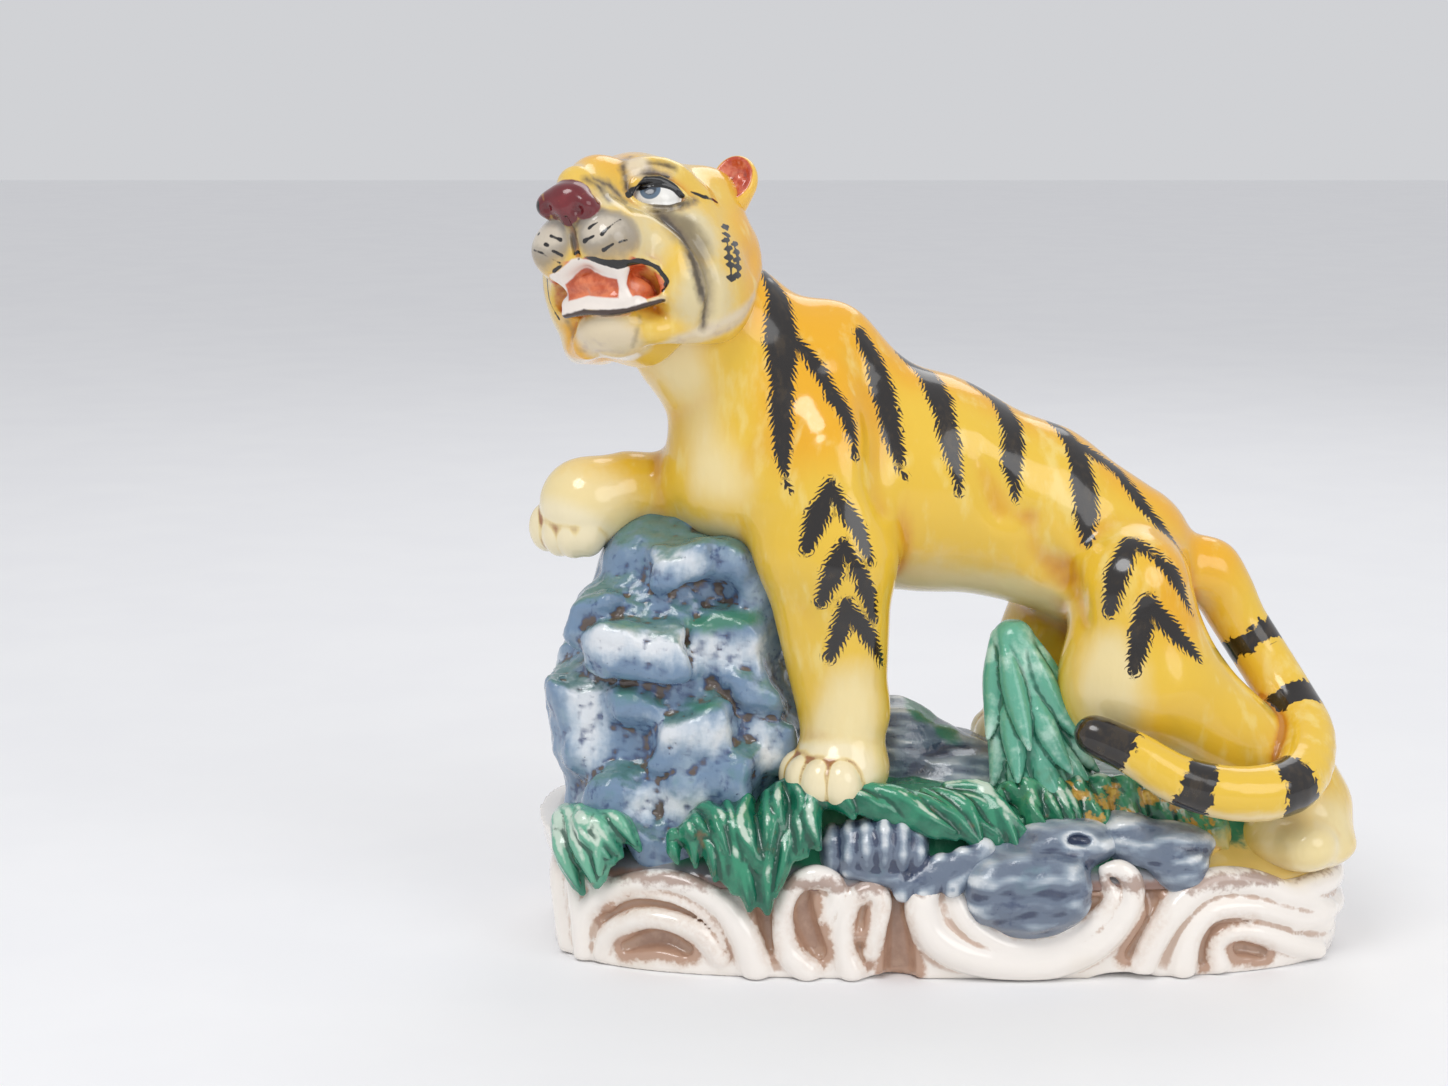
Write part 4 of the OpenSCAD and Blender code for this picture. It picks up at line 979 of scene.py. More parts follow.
over_rim, over_ground, over_corner = (0, -0.72, 0.69), (0, -0.4, 0.92), (-0.35, -0.7, 0.62)
front_tuft = Tuft()
tuft_roots = [(-88, -43, 15), (-80, -41, 23), (-73, -41, 25), (-66, -41, 26), (-57, -40, 29),
              (-52, -38, 32), (-46, -38, 32)]
tuft_tips = [(-87, -52, 10), (-76, -55, 9), (-71, -57.5, 2), (-66, -58.5, -1), (-61, -59, -3),
             (-57.5, -59, -2), (-54, -58, 4), (-49, -55.5, 12), (-42, -55, 12)]
fringe(front_tuft, tuft_roots, tuft_tips, 15, 5.4, over_rim, 2.6, 0.3)
fringe(front_tuft, tuft_roots, [(p[0] - 1, p[1] + 2.5, 0.5 * p[2] + 12) for p in tuft_tips], 14, 5.0,
       over_rim, 2.8)
mat_roots = [(-48, -42, 31), (-36, -44, 30), (-24, -42, 29), (-8, -38, 28), (4, -37, 27)]
mat_tips = [(-34, -49, 26), (-22, -50, 25), (-4, -50, 19), (8, -50, 15.5), (18, -49, 13.5)]
fringe(front_tuft, mat_roots, mat_tips, 12, 6.0, over_ground, 2.0)
second_roots = [vec(*p) + vec(6, 3, 0) for p in mat_roots]
second_tips = [vec(*p) + vec(7, 3, 2) for p in mat_tips]
fringe(front_tuft, second_roots, second_tips, 10, 6.0, over_ground, 2.0)
left_tuft = Tuft()
leaf_roots = [(-124, -24, 18), (-121, -30, 19), (-116, -35, 20), (-110, -38, 19)]
leaf_tips = [(-119.5, -43, -2), (-114.4, -46, 1), (-107, -50, 7.5), (-100, -46, 12)]
fringe(left_tuft, leaf_roots, leaf_tips, 7, 8.0, over_corner, 3.6)
fringe(left_tuft, leaf_roots, halfway(leaf_roots, leaf_tips, (1.5, -2, 2)), 7, 7.0, over_corner, 3.0)
right_tuft = Tuft()
bank_roots = [(17, -28, 27), (30, -28, 28), (44, -26, 28.6), (58, -26, 28.6), (72, -28, 23.5),
              (83, -30, 18.3)]
bank_tips = [(23, -42, 19), (33, -44, 18.4), (47, -44, 19), (56, -45, 16), (70, -44, 12.6), (82, -42, 8.5),
             (90, -36, 13)]
fringe(right_tuft, bank_roots, bank_tips, 22, 5.6, over_ground, 2.2)
fringe(right_tuft, bank_roots, halfway(bank_roots, bank_tips, (2, 0, 2)), 18, 5.6, over_ground, 2.2)
tufts = {"front_grass": front_tuft.mesh("front_tuft", 0.7), "left_grass": left_tuft.mesh("left_tuft", 0.7),
         "right_grass": right_tuft.mesh("right_tuft", 0.8)}


# Distance in mm from each point to the nearest of some forms, negative inside
def spots(points, forms):
    x, y, z = points.T
    return np.min([muscle(x, y, z, m) for m in forms], axis=0)


def chain_forms(points, radii):
    return chain([vec(*p) for p in points], radii, 0.0, 2)


# Stripes of the near flank, as points on the skin and half widths in mm
flank_stripes = [
    ([(-59, -5, 189), (-55, -11, 182), (-54, -19, 170), (-54, -24, 159), (-54, -28, 147), (-54, -32, 136),
      (-53, -35, 129)],
     [2.4, 3.6, 4.6, 3.2, 3.0, 2.6, 1.0]),
    ([(-53, -36, 127), (-51, -37, 124)], [0.9, 0.5]),
    ([(-53, -18, 171), (-47, -19, 166), (-42, -22, 160), (-37, -27, 151), (-33, -32, 145), (-31, -36, 135)],
     [2.4, 2.0, 2.0, 2.2, 2.1, 1.0]),
    ([(-29, -8, 170), (-24.5, -12, 162), (-21, -19, 150), (-19, -25, 140), (-16.5, -27, 132)],
     [2.0, 2.9, 2.9, 2.6, 1.2]),
    ([(-17, -27, 130), (-15, -27, 127)], [0.9, 0.5]),
    ([(-15, 0, 162), (-8, -3, 157), (-3, -16, 148), (0, -24, 134), (2, -25, 122)],
     [2.0, 3.0, 3.1, 2.6, 0.9]),
    ([(8, 1, 153), (16, -2, 148), (19, -9, 142), (19, -18, 130), (20, -21, 119)],
     [2.0, 3.0, 3.2, 2.9, 0.9]),
    ([(34, 2, 140), (40, -7, 134), (42, -13, 126), (43, -18, 114), (43, -21, 105)],
     [1.8, 3.2, 3.6, 3.4, 1.2]),
    ([(41, -6, 134), (54, -3, 126), (62, -10, 116), (68, -14, 109), (74, -18, 101)],
     [2.2, 2.2, 2.1, 2.0, 0.9]),
    ([(56, -28, 106), (52, -32, 96), (49, -35, 86)], [2.6, 3.2, 2.0]),
    ([(56, -28, 106), (66, -29, 95), (75, -30, 84)], [2.2, 2.4, 0.9]),
    ([(60, -38, 89), (58, -39, 79), (56, -40, 68)], [2.4, 3.2, 1.6]),
    ([(60, -38, 89), (69, -36, 79), (78, -34, 70)], [2.2, 2.6, 1.0]),
    ([(-39, -40, 127), (-43, -41, 117), (-46, -41, 107)], [1.6, 3.2, 2.0]),
    ([(-39, -40, 125), (-31, -42, 114), (-27, -43, 103)], [2.0, 2.4, 1.4]),
    ([(-35, -44, 109), (-38, -43, 100), (-42, -42, 90)], [1.6, 3.0, 1.8]),
    ([(-35, -44, 108), (-29, -42, 96), (-25, -40, 84)], [2.0, 2.4, 1.2]),
    ([(-34, -44, 90), (-36, -42, 81), (-39, -40, 72)], [1.6, 2.8, 1.6]),
    ([(-34, -44, 89), (-27, -40, 79), (-22, -36, 69)], [2.0, 2.4, 1.0])]
# Stripes of the far foreleg; the other far stripes repeat the near ones
far_stripes = [
    ([(-58, 30, 130), (-61, 33, 121), (-63, 32, 111)], [1.6, 2.6, 1.2]),
    ([(-74, 28, 128), (-76, 30, 118), (-77, 26, 108)], [1.6, 2.4, 1]),
    ([(-88, 22, 124), (-90, 24, 116), (-91, 20, 107)], [1.4, 2.2, 1])]
STRIPE_SCALE = 1.3
# Bands of the tail, as a place along it and half a width
TAIL_BANDS = ((3, 4.6), (27, 4.8), (55, 5.2), (97, 5.2), (128, 5.2), (160, 10))
# Middle of the tail's loop, round which the hairs of the bands are counted
LOOP_Y, LOOP_Z = -30, 40


def tail_bands(skin):
    """Adds the bands of the tail to the stripes, measured along the tail."""
    nearest = np.full(len(skin.points), 1e9)
    along = np.zeros(len(skin.points))
    start = 0.0
    for a, b in zip(tail_path[:-1], tail_path[1:]):
        run = b - a
        length = np.linalg.norm(run)
        t = np.clip((skin.points - a) @ run / length ** 2, 0, 1)
        distance = np.linalg.norm(skin.points - a - t[:, None] * run, axis=1)
        better = distance < nearest
        nearest[better] = distance[better]
        along[better] = start + t[better] * length
        start += length
    on_tail = nearest < TAIL_R + 1.2
    edge = np.min([np.abs(along - centre) - half for centre, half in TAIL_BANDS], axis=0)
    closer = on_tail & (edge < skin.layers["stripe_edge"])
    skin.layers["stripe_edge"][closer] = edge[closer]
    turn = np.arctan2(skin.points[closer, 2] - LOOP_Z, skin.points[closer, 1] - LOOP_Y)
    skin.layers["stripe_along"][closer] = 0.9 * turn * 12
    skin.layers["stripe_across"][closer] = 0.4 * edge[closer]


def body_layers():
    marks = flank_stripes + [(far_side(line), widths) for line, widths in flank_stripes[:-6]] + far_stripes
    strokes = [(body_clay.settle(line), widths) for line, widths in marks]
    paint(body, [(line, STRIPE_SCALE * np.array(widths)) for line, widths in strokes], "stripe")
    tail_bands(body)
    rich = chain_forms([(-62, 0, 178), (-42, 0, 172), (-12, 2, 158), (24, 2, 144), (58, 2, 124),
                        (86, 4, 96)],
                       [20, 20, 12, 10, 10, 9])
    rich += [(vec(-44, -26, 152), vec(17, 18, 24), 0), (vec(-44, 32, 152), vec(17, 18, 24), 0),
             (vec(70, -24, 92), vec(14, 16, 18), 0), (vec(54, 32, 92), vec(14, 16, 18), 0)]
    pale = [(vec(-90, -22, 166), 10, vec(-78, -36, 126), 15, 0),
            (vec(-14, -8, 88), 10, vec(36, -6, 82), 10, 0),
            (vec(-33, -36, 62), 8, vec(-36, -42, 34), 16, 0), (vec(-119, -4, 110), vec(20, 20, 18), 0),
            (vec(112, -34, 14), vec(18, 16, 14), 0), (vec(50, -34, 60), vec(9, 12, 18), 0),
            (vec(30, 34, 30), vec(18, 16, 16), 0)]
    toes = [(left_paw + vec(-6, -8, 0), vec(18, 16, 14), 0), (right_toes, vec(16, 15, 14), 0),
            (right_hind_paw + vec(-8, 0, 0), vec(16, 15, 12), 0)]
    body.layers["rich"] = spots(body.points, rich)
    body.layers["pale"] = spots(body.points, pale)
    body.layers["toes"] = spots(body.points, toes)
    body.layers["under"] = -body.normal[:, 2]
    body.layers["fold"] = body.hollow(45)
    body.layers["crease"] = body.hollow(8)


# The painter's strokes on the face, near side first; the far side repeats those of the cheek and the eye
eye_ink = [([(27, 10, 9), (25, 11.6, 12.2), (24.6, 15, 13.6), (22, 18.2, 14.4), (18.6, 20.8, 13.6),
             (15, 22.2, 11.8)],
            [1.2, 1.3, 1.7, 1.8, 1.5, 0.8]),
           ([(25.4, 10.4, 13), (23.4, 13.4, 16.4), (18.4, 19, 17.4)], [0.7, 0.9, 0.4]),
           ([(11.2, 23.2, 14.7), (6.9, 25.5, 14.4), (0, 26.4, 15.6)], [0.3, 0.6, 0.4])]
feather_at = [(0.2, 30.1, 6.1), (0.9, 31.3, 2.8), (2.2, 31.6, 0.2), (2.8, 32, -2.6), (2.7, 32.5, -5.6),
              (2.4, 32.8, -8.8), (1.8, 32.9, -12), (-1.8, 32.2, 0.8), (-2.2, 32.8, -2), (-2.3, 33.2, -4.8),
              (-2.2, 33.5, -7.6), (-1.6, 33.6, -10.6)]
for p in feather_at:
    at, tilt = vec(*p) + rng.normal(0, 0.35, 3), rng.uniform(0.3, 1.3)
    eye_ink.append(([at + vec(2.3, 0, -tilt), at, at + vec(-2, 0, tilt)],
                    [0.3, rng.uniform(0.9, 1.3), 0.5]))
eye_ink += [([(2.1, 31.4, 0.4), (2.5, 32.3, -5.5), (1.7, 32.9, -12)], [0.3, 0.8, 0.4]),
            ([(-1.7, 32, 1.2), (-2.4, 33.1, -4.5), (-1.5, 33.6, -10.4)], [0.4, 0.9, 0.4])]
whiskers = [([(42.3, 6.2, -8), (42.1, 8.7, -6.7)], [0.6, 0.25]),
            ([(42.2, 10.3, -10.6), (40.5, 12.4, -7.8), (38.2, 14.1, -5.1)], [0.6, 0.25, 0.2]),
            ([(41.4, 4.2, -11.4), (42.5, 7.8, -10.9)], [0.7, 0.3]),
            ([(40.2, 10.1, -15), (39.8, 12.9, -13.4)], [0.65, 0.3]),
            ([(38.5, 14.2, -12.4), (36.7, 15.9, -11.3)], [0.3, 0.3]),
            ([(42.8, -12.4, -6), (42.5, -11.8, -6.4)], [0.6, 0.5]),
            ([(43.3, -6.9, -8.4), (42.2, -4, -9.8)], [0.3, 0.6]),
            ([(43.4, -8.8, -10.8), (43.2, -7.9, -11.3)], [0.5, 0.5]),
            ([(42.4, -6.7, -12.9), (40.5, -4.4, -14)], [0.35, 0.4]),
            ([(41.7, -13.8, -11), (42.5, -10.4, -12.9), (39.4, -5.7, -15.7)], [0.25, 0.3, 0.3])]
lip_ink = [([(38, -0.4, -12.5), (38.4, 6.4, -16.5), (34.4, 11.8, -17.3), (28.7, 16.8, -15),
             (24, 19.8, -15.9), (20.7, 21.2, -19.2), (19.4, 19.2, -21.5)],
            [0.4, 1.0, 1.6, 0.9, 0.6, 0.8, 0.5]),
           ([(37, -2, -12.5), (38, -8, -17), (33, -15, -15), (24, -20, -12), (20.5, -21, -17),
             (17.3, -18.8, -23.2)], [0.4, 0.6, 0.5, 0.4, 0.4, 0.4]),
           ([(49.4, -9.6, 0.4), (48, -10, -2)], [1.0, 0.8]), (philtrum, [0.4, 0.5, 0.4])]
eye_wash = [([(21.2, 17.4, 4.6), (20.6, 20.8, 0.1), (18.9, 24.9, -4.7), (18.3, 27.9, -11),
              (16, 28.6, -16.2), (12.7, 28.7, -20.2), (7.6, 27.4, -23.2), (3.8, 24.9, -28)],
             [0.8, 1.7, 1.5, 1.5, 1.4, 1.3, 1.2, 0.7]),
            ([(16.6, 22.5, 8.1), (10.4, 24.2, 12.1)], [1.3, 0.6]),
            ([(23.6, 11.5, 8.2), (23, 16.9, 6), (19, 20.3, 7), (14.9, 21.4, 10.6)], [0.6, 0.9, 1.0, 0.6]),
            ([(27.8, 9.4, 11.4), (29.3, 8.8, 16.9), (25.9, 7.4, 22.2), (21.7, 7.2, 26.2)],
             [1.3, 0.7, 0.4, 0.3]),
            ([(25.4, 11, 14.6), (23.4, 15.5, 16.8), (19.4, 19.6, 16.8)], [1.4, 2, 1.2]),
            ([(24.4, 15.7, 20.1), (21.5, 18.3, 20.4), (18.1, 20.7, 20.3)], [0.5, 0.7, 0.4]),
            ([(43.8, 4.8, 8.1), (38.9, 6.9, 6.9), (37.5, 9.8, 2.5)], [0.5, 0.7, 0.5]),
            ([(41.1, 6, 9.1), (33.9, 7.4, 9.7), (30.4, 8.7, 7.6)], [0.5, 0.7, 0.6]),
            ([(42.6, 2, -6), (42.2, 6, -4.6), (40.6, 9.2, -2.4)], [1.0, 1.3, 1.0])]

# Shade beside the chin; a half width below zero leaves only the pale edge of a stroke
chin_wash = [([(18.3, 10.8, -28.2), (17.3, 9.4, -32.9), (13.8, 6.1, -35.6)], [-0.6, -0.3, -0.6]),
             ([(16.8, -16.2, -24.1), (14, -15.5, -28.3), (15.6, -10.2, -34.8)], [-0.2, 0.2, -0.2])]

# Broad soft haze under the eye and down the cheek
cheek_haze = [([(20, 20, 4), (17, 23, -1), (15, 26, -6), (14, 28, -12), (10, 29, -18), (6, 28, -24)],
               [4, 6.5, 6, 4.5, 3, 2]),
              ([(36, 4, 6), (34, 8, 3), (30, 10, 6)], [1.5, 2.5, 1.5])]


def face_strokes(strokes):
    return [(from_head(head_clay.settle(line)), widths) for line, widths in strokes]


def both_sides(strokes):
    return strokes + [(mirrored(line, -1), widths) for line, widths in strokes]


def head_layers():
    local = head.local
    paint(head, face_strokes(both_sides(eye_ink) + whiskers + lip_ink), "ink")
    paint(head, face_strokes(both_sides(eye_wash) + chin_wash), "wash")
    paint(head, face_strokes(both_sides(cheek_haze)), "haze")
    paint(head, face_strokes([(upper_gum, [2.6, 2.9, 2.8, 2.5]), (gum_post, [2.4, 1.3, 2.4]),
                              (far_post, [2.2, 1.3, 2]), (lower_gum, [2.2] * 4)]), "gum")
    paint(head, face_strokes([(lower_lip, [1.2, 1.9, 1.8, 1.5, 0.8])]), "lip")
    paint(head, face_strokes([(cleft, [0.9, 1, 0.9, 0.5])]), "cleft")
    nose_tip = (vec(45.6, -0.4, -1.5), 3.8, vec(44.8, -0.2, -3.2), 2.8, 0)
    head.layers["nose"] = spots(local, nose[:3] + [nose_tip])
    roof = local[:, 2] + 15.2 - 0.1 * (36 - local[:, 0])
    head.layers["mouth"] = np.maximum(spots(local, [(mouth_at, mouth_radii, 0)]), roof)
    eyes = [(m, eye_radii, 0) for s in (-1, 1) for m in mirrored([eye_at], s)]
    head.layers["eye"] = spots(local, eyes)
    irises = head_clay.settle(mirrored([iris_at], 1) + mirrored([iris_at], -1))
    head.layers["iris"] = np.min([np.linalg.norm(local - i, axis=1) for i in irises], axis=0)
    pale = [(vec(13.5, -0.9, -31), vec(12, 11.5, 7.5), 0)]
    pale += [(m, vec(4, 4.6, 4), 0) for s in (-1, 1) for m in mirrored([(26.5, 13, 18.4)], s)]
    pale += [(m, vec(3, 3, 2.4), 0) for s in (-1, 1) for m in mirrored([(19.7, 17.7, -25)], s)]
    for s in (-1, 1):
        pale += chain_forms(mirrored([(9, 8, -35), (6.5, 18.5, -33), (1, 26, -29), (-6.5, 32, -22),
                                      (-13, 33.7, -12.5)], s),
                            [3, 3, 3.2, 2.6, 1.2])
    head.layers["pale"] = spots(local, pale)
    cream_at = [((26, 14, -8), (9, 8, 7)), ((8, 27, -20), (11, 8, 10)), ((20, 19, 2), (8, 8, 5)),
                ((33, 8, 2), (8, 6, 5)), ((12, 24, -2), (8, 8, 10))]
    cream = [(m, vec(*r), 0) for s in (-1, 1) for p, r in cream_at for m in mirrored([p], s)]
    head.layers["cream"] = spots(local, cream)
    head.layers["pads"] = spots(local, pads)
    whisk = [(m[0] + vec(1, 0, 1), m[1] * vec(1.08, 1.02, 0.95), 0) for m in pads]
    head.layers["whisk"] = spots(local, whisk)
    rich = [(vec(18, 0, 24), vec(22, 8, 10), 0), (vec(-16, 0, 26), vec(14, 24, 14), 0),
            (vec(-16, 30, 0), vec(8, 8, 20), 0), (vec(-16, -30, 0), vec(8, 8, 20), 0),
            (vec(8, -18, -32), vec(12, 9, 9), 0)]
    head.layers["rich"] = spots(local, rich)
    head.layers["fold"] = head.hollow(60)
    head.layers["crease"] = head.hollow(10)


body_layers()
head_layers()
for s, skin in zip((1, -1), ears):
    skin.layers["cup"] = spots(skin.local, ear_cup(s, 0))
    skin.layers["crease"] = skin.hollow(10)

# Marks on the crag: worn white faces and green ledges
white_faces = [([(-95, -28, 102), (-83, -28, 101)], [4, 4]), ([(-112, -36, 77), (-81, -36, 76)], [5.5, 6]),
               ([(-79, -30, 72), (-56, -30, 71)], [5, 4]), ([(-117, -24, 60), (-115, -24, 38)], [6, 5]),
               ([(-95, -38, 48), (-74, -38, 47)], [4.5, 5]), ([(-60, -32, 46), (-57, -32, 38)], [3.5, 3]),
               ([(-98, -36, 24), (-80, -40, 24)], [4, 4]), ([(-110, 22, 62), (-92, 28, 60)], [5, 5]),
               ([(-84, 28, 74), (-68, 28, 72)], [5, 4]), ([(-100, 32, 42), (-74, 32, 38)], [5, 5]),
               ([(-128, 4, 60), (-126, 6, 34)], [5, 4])]
green_ledges = [([(-109, -34, 86), (-98, -35, 84), (-87, -33, 85)], [2.4, 3, 2]),
                ([(-82, -28, 80), (-70, -28, 82), (-58, -27, 84)], [2, 3, 2.4]),
                ([(-104, -34, 60), (-92, -36, 57), (-76, -36, 56)], [1.6, 2.2, 1.6]),
                ([(-118, 16, 72), (-98, 26, 73), (-80, 28, 84)], [2, 3, 2]),
                ([(-126, -14, 66), (-114, -24, 66)], [2, 2.4]), ([(-106, 32, 54), (-74, 33, 50)], [2, 2.4])]
paint(crag, white_faces, "white")
paint(crag, green_ledges, "green")
crag.layers["crease"] = crag.hollow(6)
crag.layers["fold"] = crag.hollow(40)
crag.layers["up"] = crag.normal[:, 2]

# Recesses and rolls of the plinth
hollow_lines = both_walls(wall_hollows, 0.5, FRONT_HOLLOWS)
paint(plinth, [(line, [r + 0.8 for r in radii]) for line, radii in hollow_lines], "recess")
roll_strokes = []
for line, radii in both_walls(front_rolls, ROLL_SINK, FRONT_ROLLS):
    path = smooth_path([(*p, r) for p, r in zip(line, radii)], 4)
    roll_strokes.append((path[:, :3], path[:, 3]))
paint(plinth, roll_strokes, "roll")
plinth.layers["crease"] = plinth.hollow(5)
plinth.layers["fold"] = plinth.hollow(30)
plinth.layers["height"] = plinth.points[:, 2] + PLINTH_H

# Stones, prop, ground and grass
moss = [(vec(-6, 2, 46), vec(9, 10, 7), 0), (vec(3, -4, 40), vec(8, 8, 6), 0)]
for skin in stones.values():
    skin.layers["crease"] = skin.hollow(6)
    skin.layers["fold"] = skin.hollow(24)
    skin.layers["up"] = skin.normal[:, 2]
    skin.layers["moss"] = spots(skin.points, moss)
prop.layers["crease"] = prop.hollow(5)
yellow_run = [(vec(112, -34, 6), vec(20, 18, 14), 0), (vec(92, -42, 6), vec(16, 9, 10), 0)]
ground.layers["run"] = spots(ground.points, yellow_run)
ground.layers["share"] = plan_share(ground.points[:, 0], ground.points[:, 1], DECK_X, DECK_Y)
flower_at = [(48, -36, 24), (55, -40, 20), (62, -34, 25), (66, -42, 15), (74, -38, 17), (80, -34, 17),
             (84, -40, 9), (58, -44, 15), (40, -32, 27), (70, -33, 22), (44, -42, 19), (52, -32, 27)]
bank = tufts["right_grass"]
bank.layers["run"] = spots(bank.points, [(vec(96, -40, 8), vec(20, 12, 10), 0)])
bank.layers["flower"] = spots(bank.points, [(vec(*p), vec(4, 5, 3.2), 0) for p in flower_at])
for skin in tufts.values():
    skin.layers["crease"] = skin.hollow(5)


# Glazes: colours laid over each other by layers and by noise measured in mm, under one glossy coat
def rgb(red, green, blue):
    return tuple(((c / 255 + 0.055) / 1.055) ** 2.4 for c in (red, green, blue)) + (1.0,)


class Glaze:
    def __init__(self, name, colour, roughness=0.16, coat=0.5):
        self.material = bpy.data.materials.new(name)
        self.material.use_nodes = True
        self.tree = self.material.node_tree
        self.shader = self.tree.nodes["Principled BSDF"]
        self.shader.inputs["Roughness"].default_value = roughness
        self.shader.inputs["Coat Weight"].default_value = coat
        self.shader.inputs["Coat Roughness"].default_value = 0.05
        self.place = self.tree.nodes.new("ShaderNodeTexCoord").outputs["Object"]
        self.colour = colour

    def feed(self, socket, value):
        if isinstance(value, bpy.types.NodeSocket):
            self.tree.links.new(value, socket)
        else:
            socket.default_value = value

    def layer(self, name):
        node = self.tree.nodes.new("ShaderNodeAttribute")
        node.attribute_name = name
        return node.outputs["Fac"]

    def noise(self, size, detail=2.0, seed=0.0, stretch=None):
        """Noise about zero, with grains of some mm."""
        node = self.tree.nodes.new("ShaderNodeTexNoise")
        node.noise_dimensions = "4D"
        node.inputs["W"].default_value = seed
        node.inputs["Scale"].default_value = 1 / (size * MM)
        node.inputs["Detail"].default_value = detail
        place = self.place
        if stretch:
            mapping = self.tree.nodes.new("ShaderNodeMapping")
            mapping.inputs["Scale"].default_value = stretch
            self.tree.links.new(place, mapping.inputs["Vector"])
            place = mapping.outputs["Vector"]
        self.tree.links.new(place, node.inputs["Vector"])
        return self.calc("SUBTRACT", node.outputs["Fac"], 0.5)

    def calc(self, operation, a, b=0.0):
        node = self.tree.nodes.new("ShaderNodeMath")
        node.operation = operation
        self.feed(node.inputs[0], a)
        self.feed(node.inputs[1], b)
        return node.outputs[0]

    def total(self, *terms):
        """Weighted sum of sockets and painted layers, given as (weight, socket or name)."""
        value = None
        for weight, term in terms:
            socket = self.layer(term) if isinstance(term, str) else term
            part = socket if weight == 1 else self.calc("MULTIPLY", socket, weight)
            value = part if value is None else self.calc("ADD", value, part)
        return value

    def meet(self, a, b):
        """Mask of the places that two masks share."""
        return self.calc("MULTIPLY", a, b)

    def step(self, value, low, high):
        """Rises gently from 0 at low to 1 at high; high may be the smaller."""
        node = self.tree.nodes.new("ShaderNodeMapRange")
        node.interpolation_type = "SMOOTHSTEP"
        flipped = high < low
        node.inputs["From Min"].default_value = min(low, high)
        node.inputs["From Max"].default_value = max(low, high)
        node.inputs["To Min"].default_value = 1.0 if flipped else 0.0
        node.inputs["To Max"].default_value = 0.0 if flipped else 1.0
        self.feed(node.inputs["Value"], value)
        return node.outputs["Result"]

    def blend(self, mask, below, above):
        node = self.tree.nodes.new("ShaderNodeMix")
        node.data_type = "RGBA"
        self.feed(node.inputs["Factor"], mask)
        self.feed(node.inputs[6], below)
        self.feed(node.inputs[7], above)
        return node.outputs[2]

    def lay(self, colour, mask, strength=1.0):
        if strength != 1:
            mask = self.calc("MULTIPLY", mask, strength)
        self.colour = self.blend(mask, self.colour, colour)

    def mark(self, colour, terms, low, high, strength=1.0):
        """Lays a colour where a sum of terms passes from low to high."""
        self.lay(rgb(*colour), self.step(self.total(*terms), low, high), strength)

    def fire(self, relief=None, depth=0.2):
        self.feed(self.shader.inputs["Base Color"], self.colour)
        if relief is not None:
            bump = self.tree.nodes.new("ShaderNodeBump")
            bump.inputs["Distance"].default_value = depth * MM
            bump.inputs["Strength"].default_value = 1.0
            self.tree.links.new(relief, bump.inputs["Height"])
            self.tree.links.new(bump.outputs["Normal"], self.shader.inputs["Normal"])
        return self.material


def tiger_paint(name, on_head):
    glaze = Glaze(name, rgb(234, 194, 82) if on_head else rgb(236, 194, 60))
    cloud, blot, grain = glaze.noise(38, 2), glaze.noise(10, 3, 3), glaze.noise(2.2, 2, 5)
    brush = glaze.noise(7, 4, 7, (1.4, 1.4, 0.5))
    fold, crease = glaze.layer("fold"), glaze.layer("crease")
    glaze.mark((238, 172, 4), [(1, "rich"), (16, cloud), (5, blot)], 10, -5, 0.9)
    glaze.mark((244, 220, 136), [(1, brush), (0.5, cloud)], 0.02, 0.26, 0.6)
    if not on_head:
        under = glaze.total((1, "under"), (0.5, blot), (0.4, cloud))
        glaze.mark((236, 214, 162), [(1, under)], 0.3, 0.75, 0.9)
        glaze.mark((242, 226, 176), [(1, "pale"), (14, cloud), (6, brush)], 6, -5, 0.8)
    # Painted shade: deep orange in the broad hollows of the hide and brown in its tight creases
    glaze.mark((216, 142, 24), [(1, fold), (0.3, blot), (0.4, cloud)], 0.0, 0.6, 0.7)
    glaze.mark((176, 96, 30), [(1, crease), (0.06, blot)], 0.07, 0.2, 0.5)
    if not on_head:
        toe = glaze.step(glaze.layer("toes"), 2, -3)
        glaze.lay(rgb(245, 232, 196), glaze.meet(toe, glaze.step(crease, 0.03, -0.03)), 0.8)
        # Painted shade: brown in the creases between the toes
        toe_crease = glaze.step(glaze.total((1, crease), (0.08, blot)), 0.0, 0.13)
        glaze.lay(rgb(156, 98, 58), glaze.meet(toe, toe_crease), 0.85)
        stripes(glaze)
    else:
        face(glaze, grain, blot)
    return glaze.fire(glaze.total((1, brush), (0.3, grain)), 0.12)


def stripes(glaze):
    """Black bands with slanted hairs along both edges, thinner in the middle of the brush's track."""
    edge, along = glaze.layer("stripe_edge"), glaze.layer("stripe_along")
    across = glaze.calc("ABSOLUTE", glaze.layer("stripe_across"))
    jitter = glaze.noise(3, 2, 11)
    comb = glaze.total((0.45, along), (-0.62, across), (2.4, jitter))
    hair = glaze.calc("PINGPONG", comb, 0.5)
    ragged = glaze.total((1, edge), (4.2, hair), (2.2, jitter), (1.6, glaze.noise(7, 1, 12)))
    glaze.mark((120, 84, 40), [(1, ragged)], 1.3, 0.7, 0.6)
    glaze.mark((30, 25, 22), [(1, ragged)], 0.95, 0.5)
    worn = glaze.total((1, glaze.noise(9, 3, 13)), (0.6, glaze.noise(1.6, 2, 14, (1, 1, 0.4))),
                       (-0.03, edge))
    inside = glaze.step(ragged, 0.2, -1.2)
    glaze.lay(rgb(86, 70, 46), glaze.meet(glaze.step(worn, 0.08, 0.3), inside), 0.28)


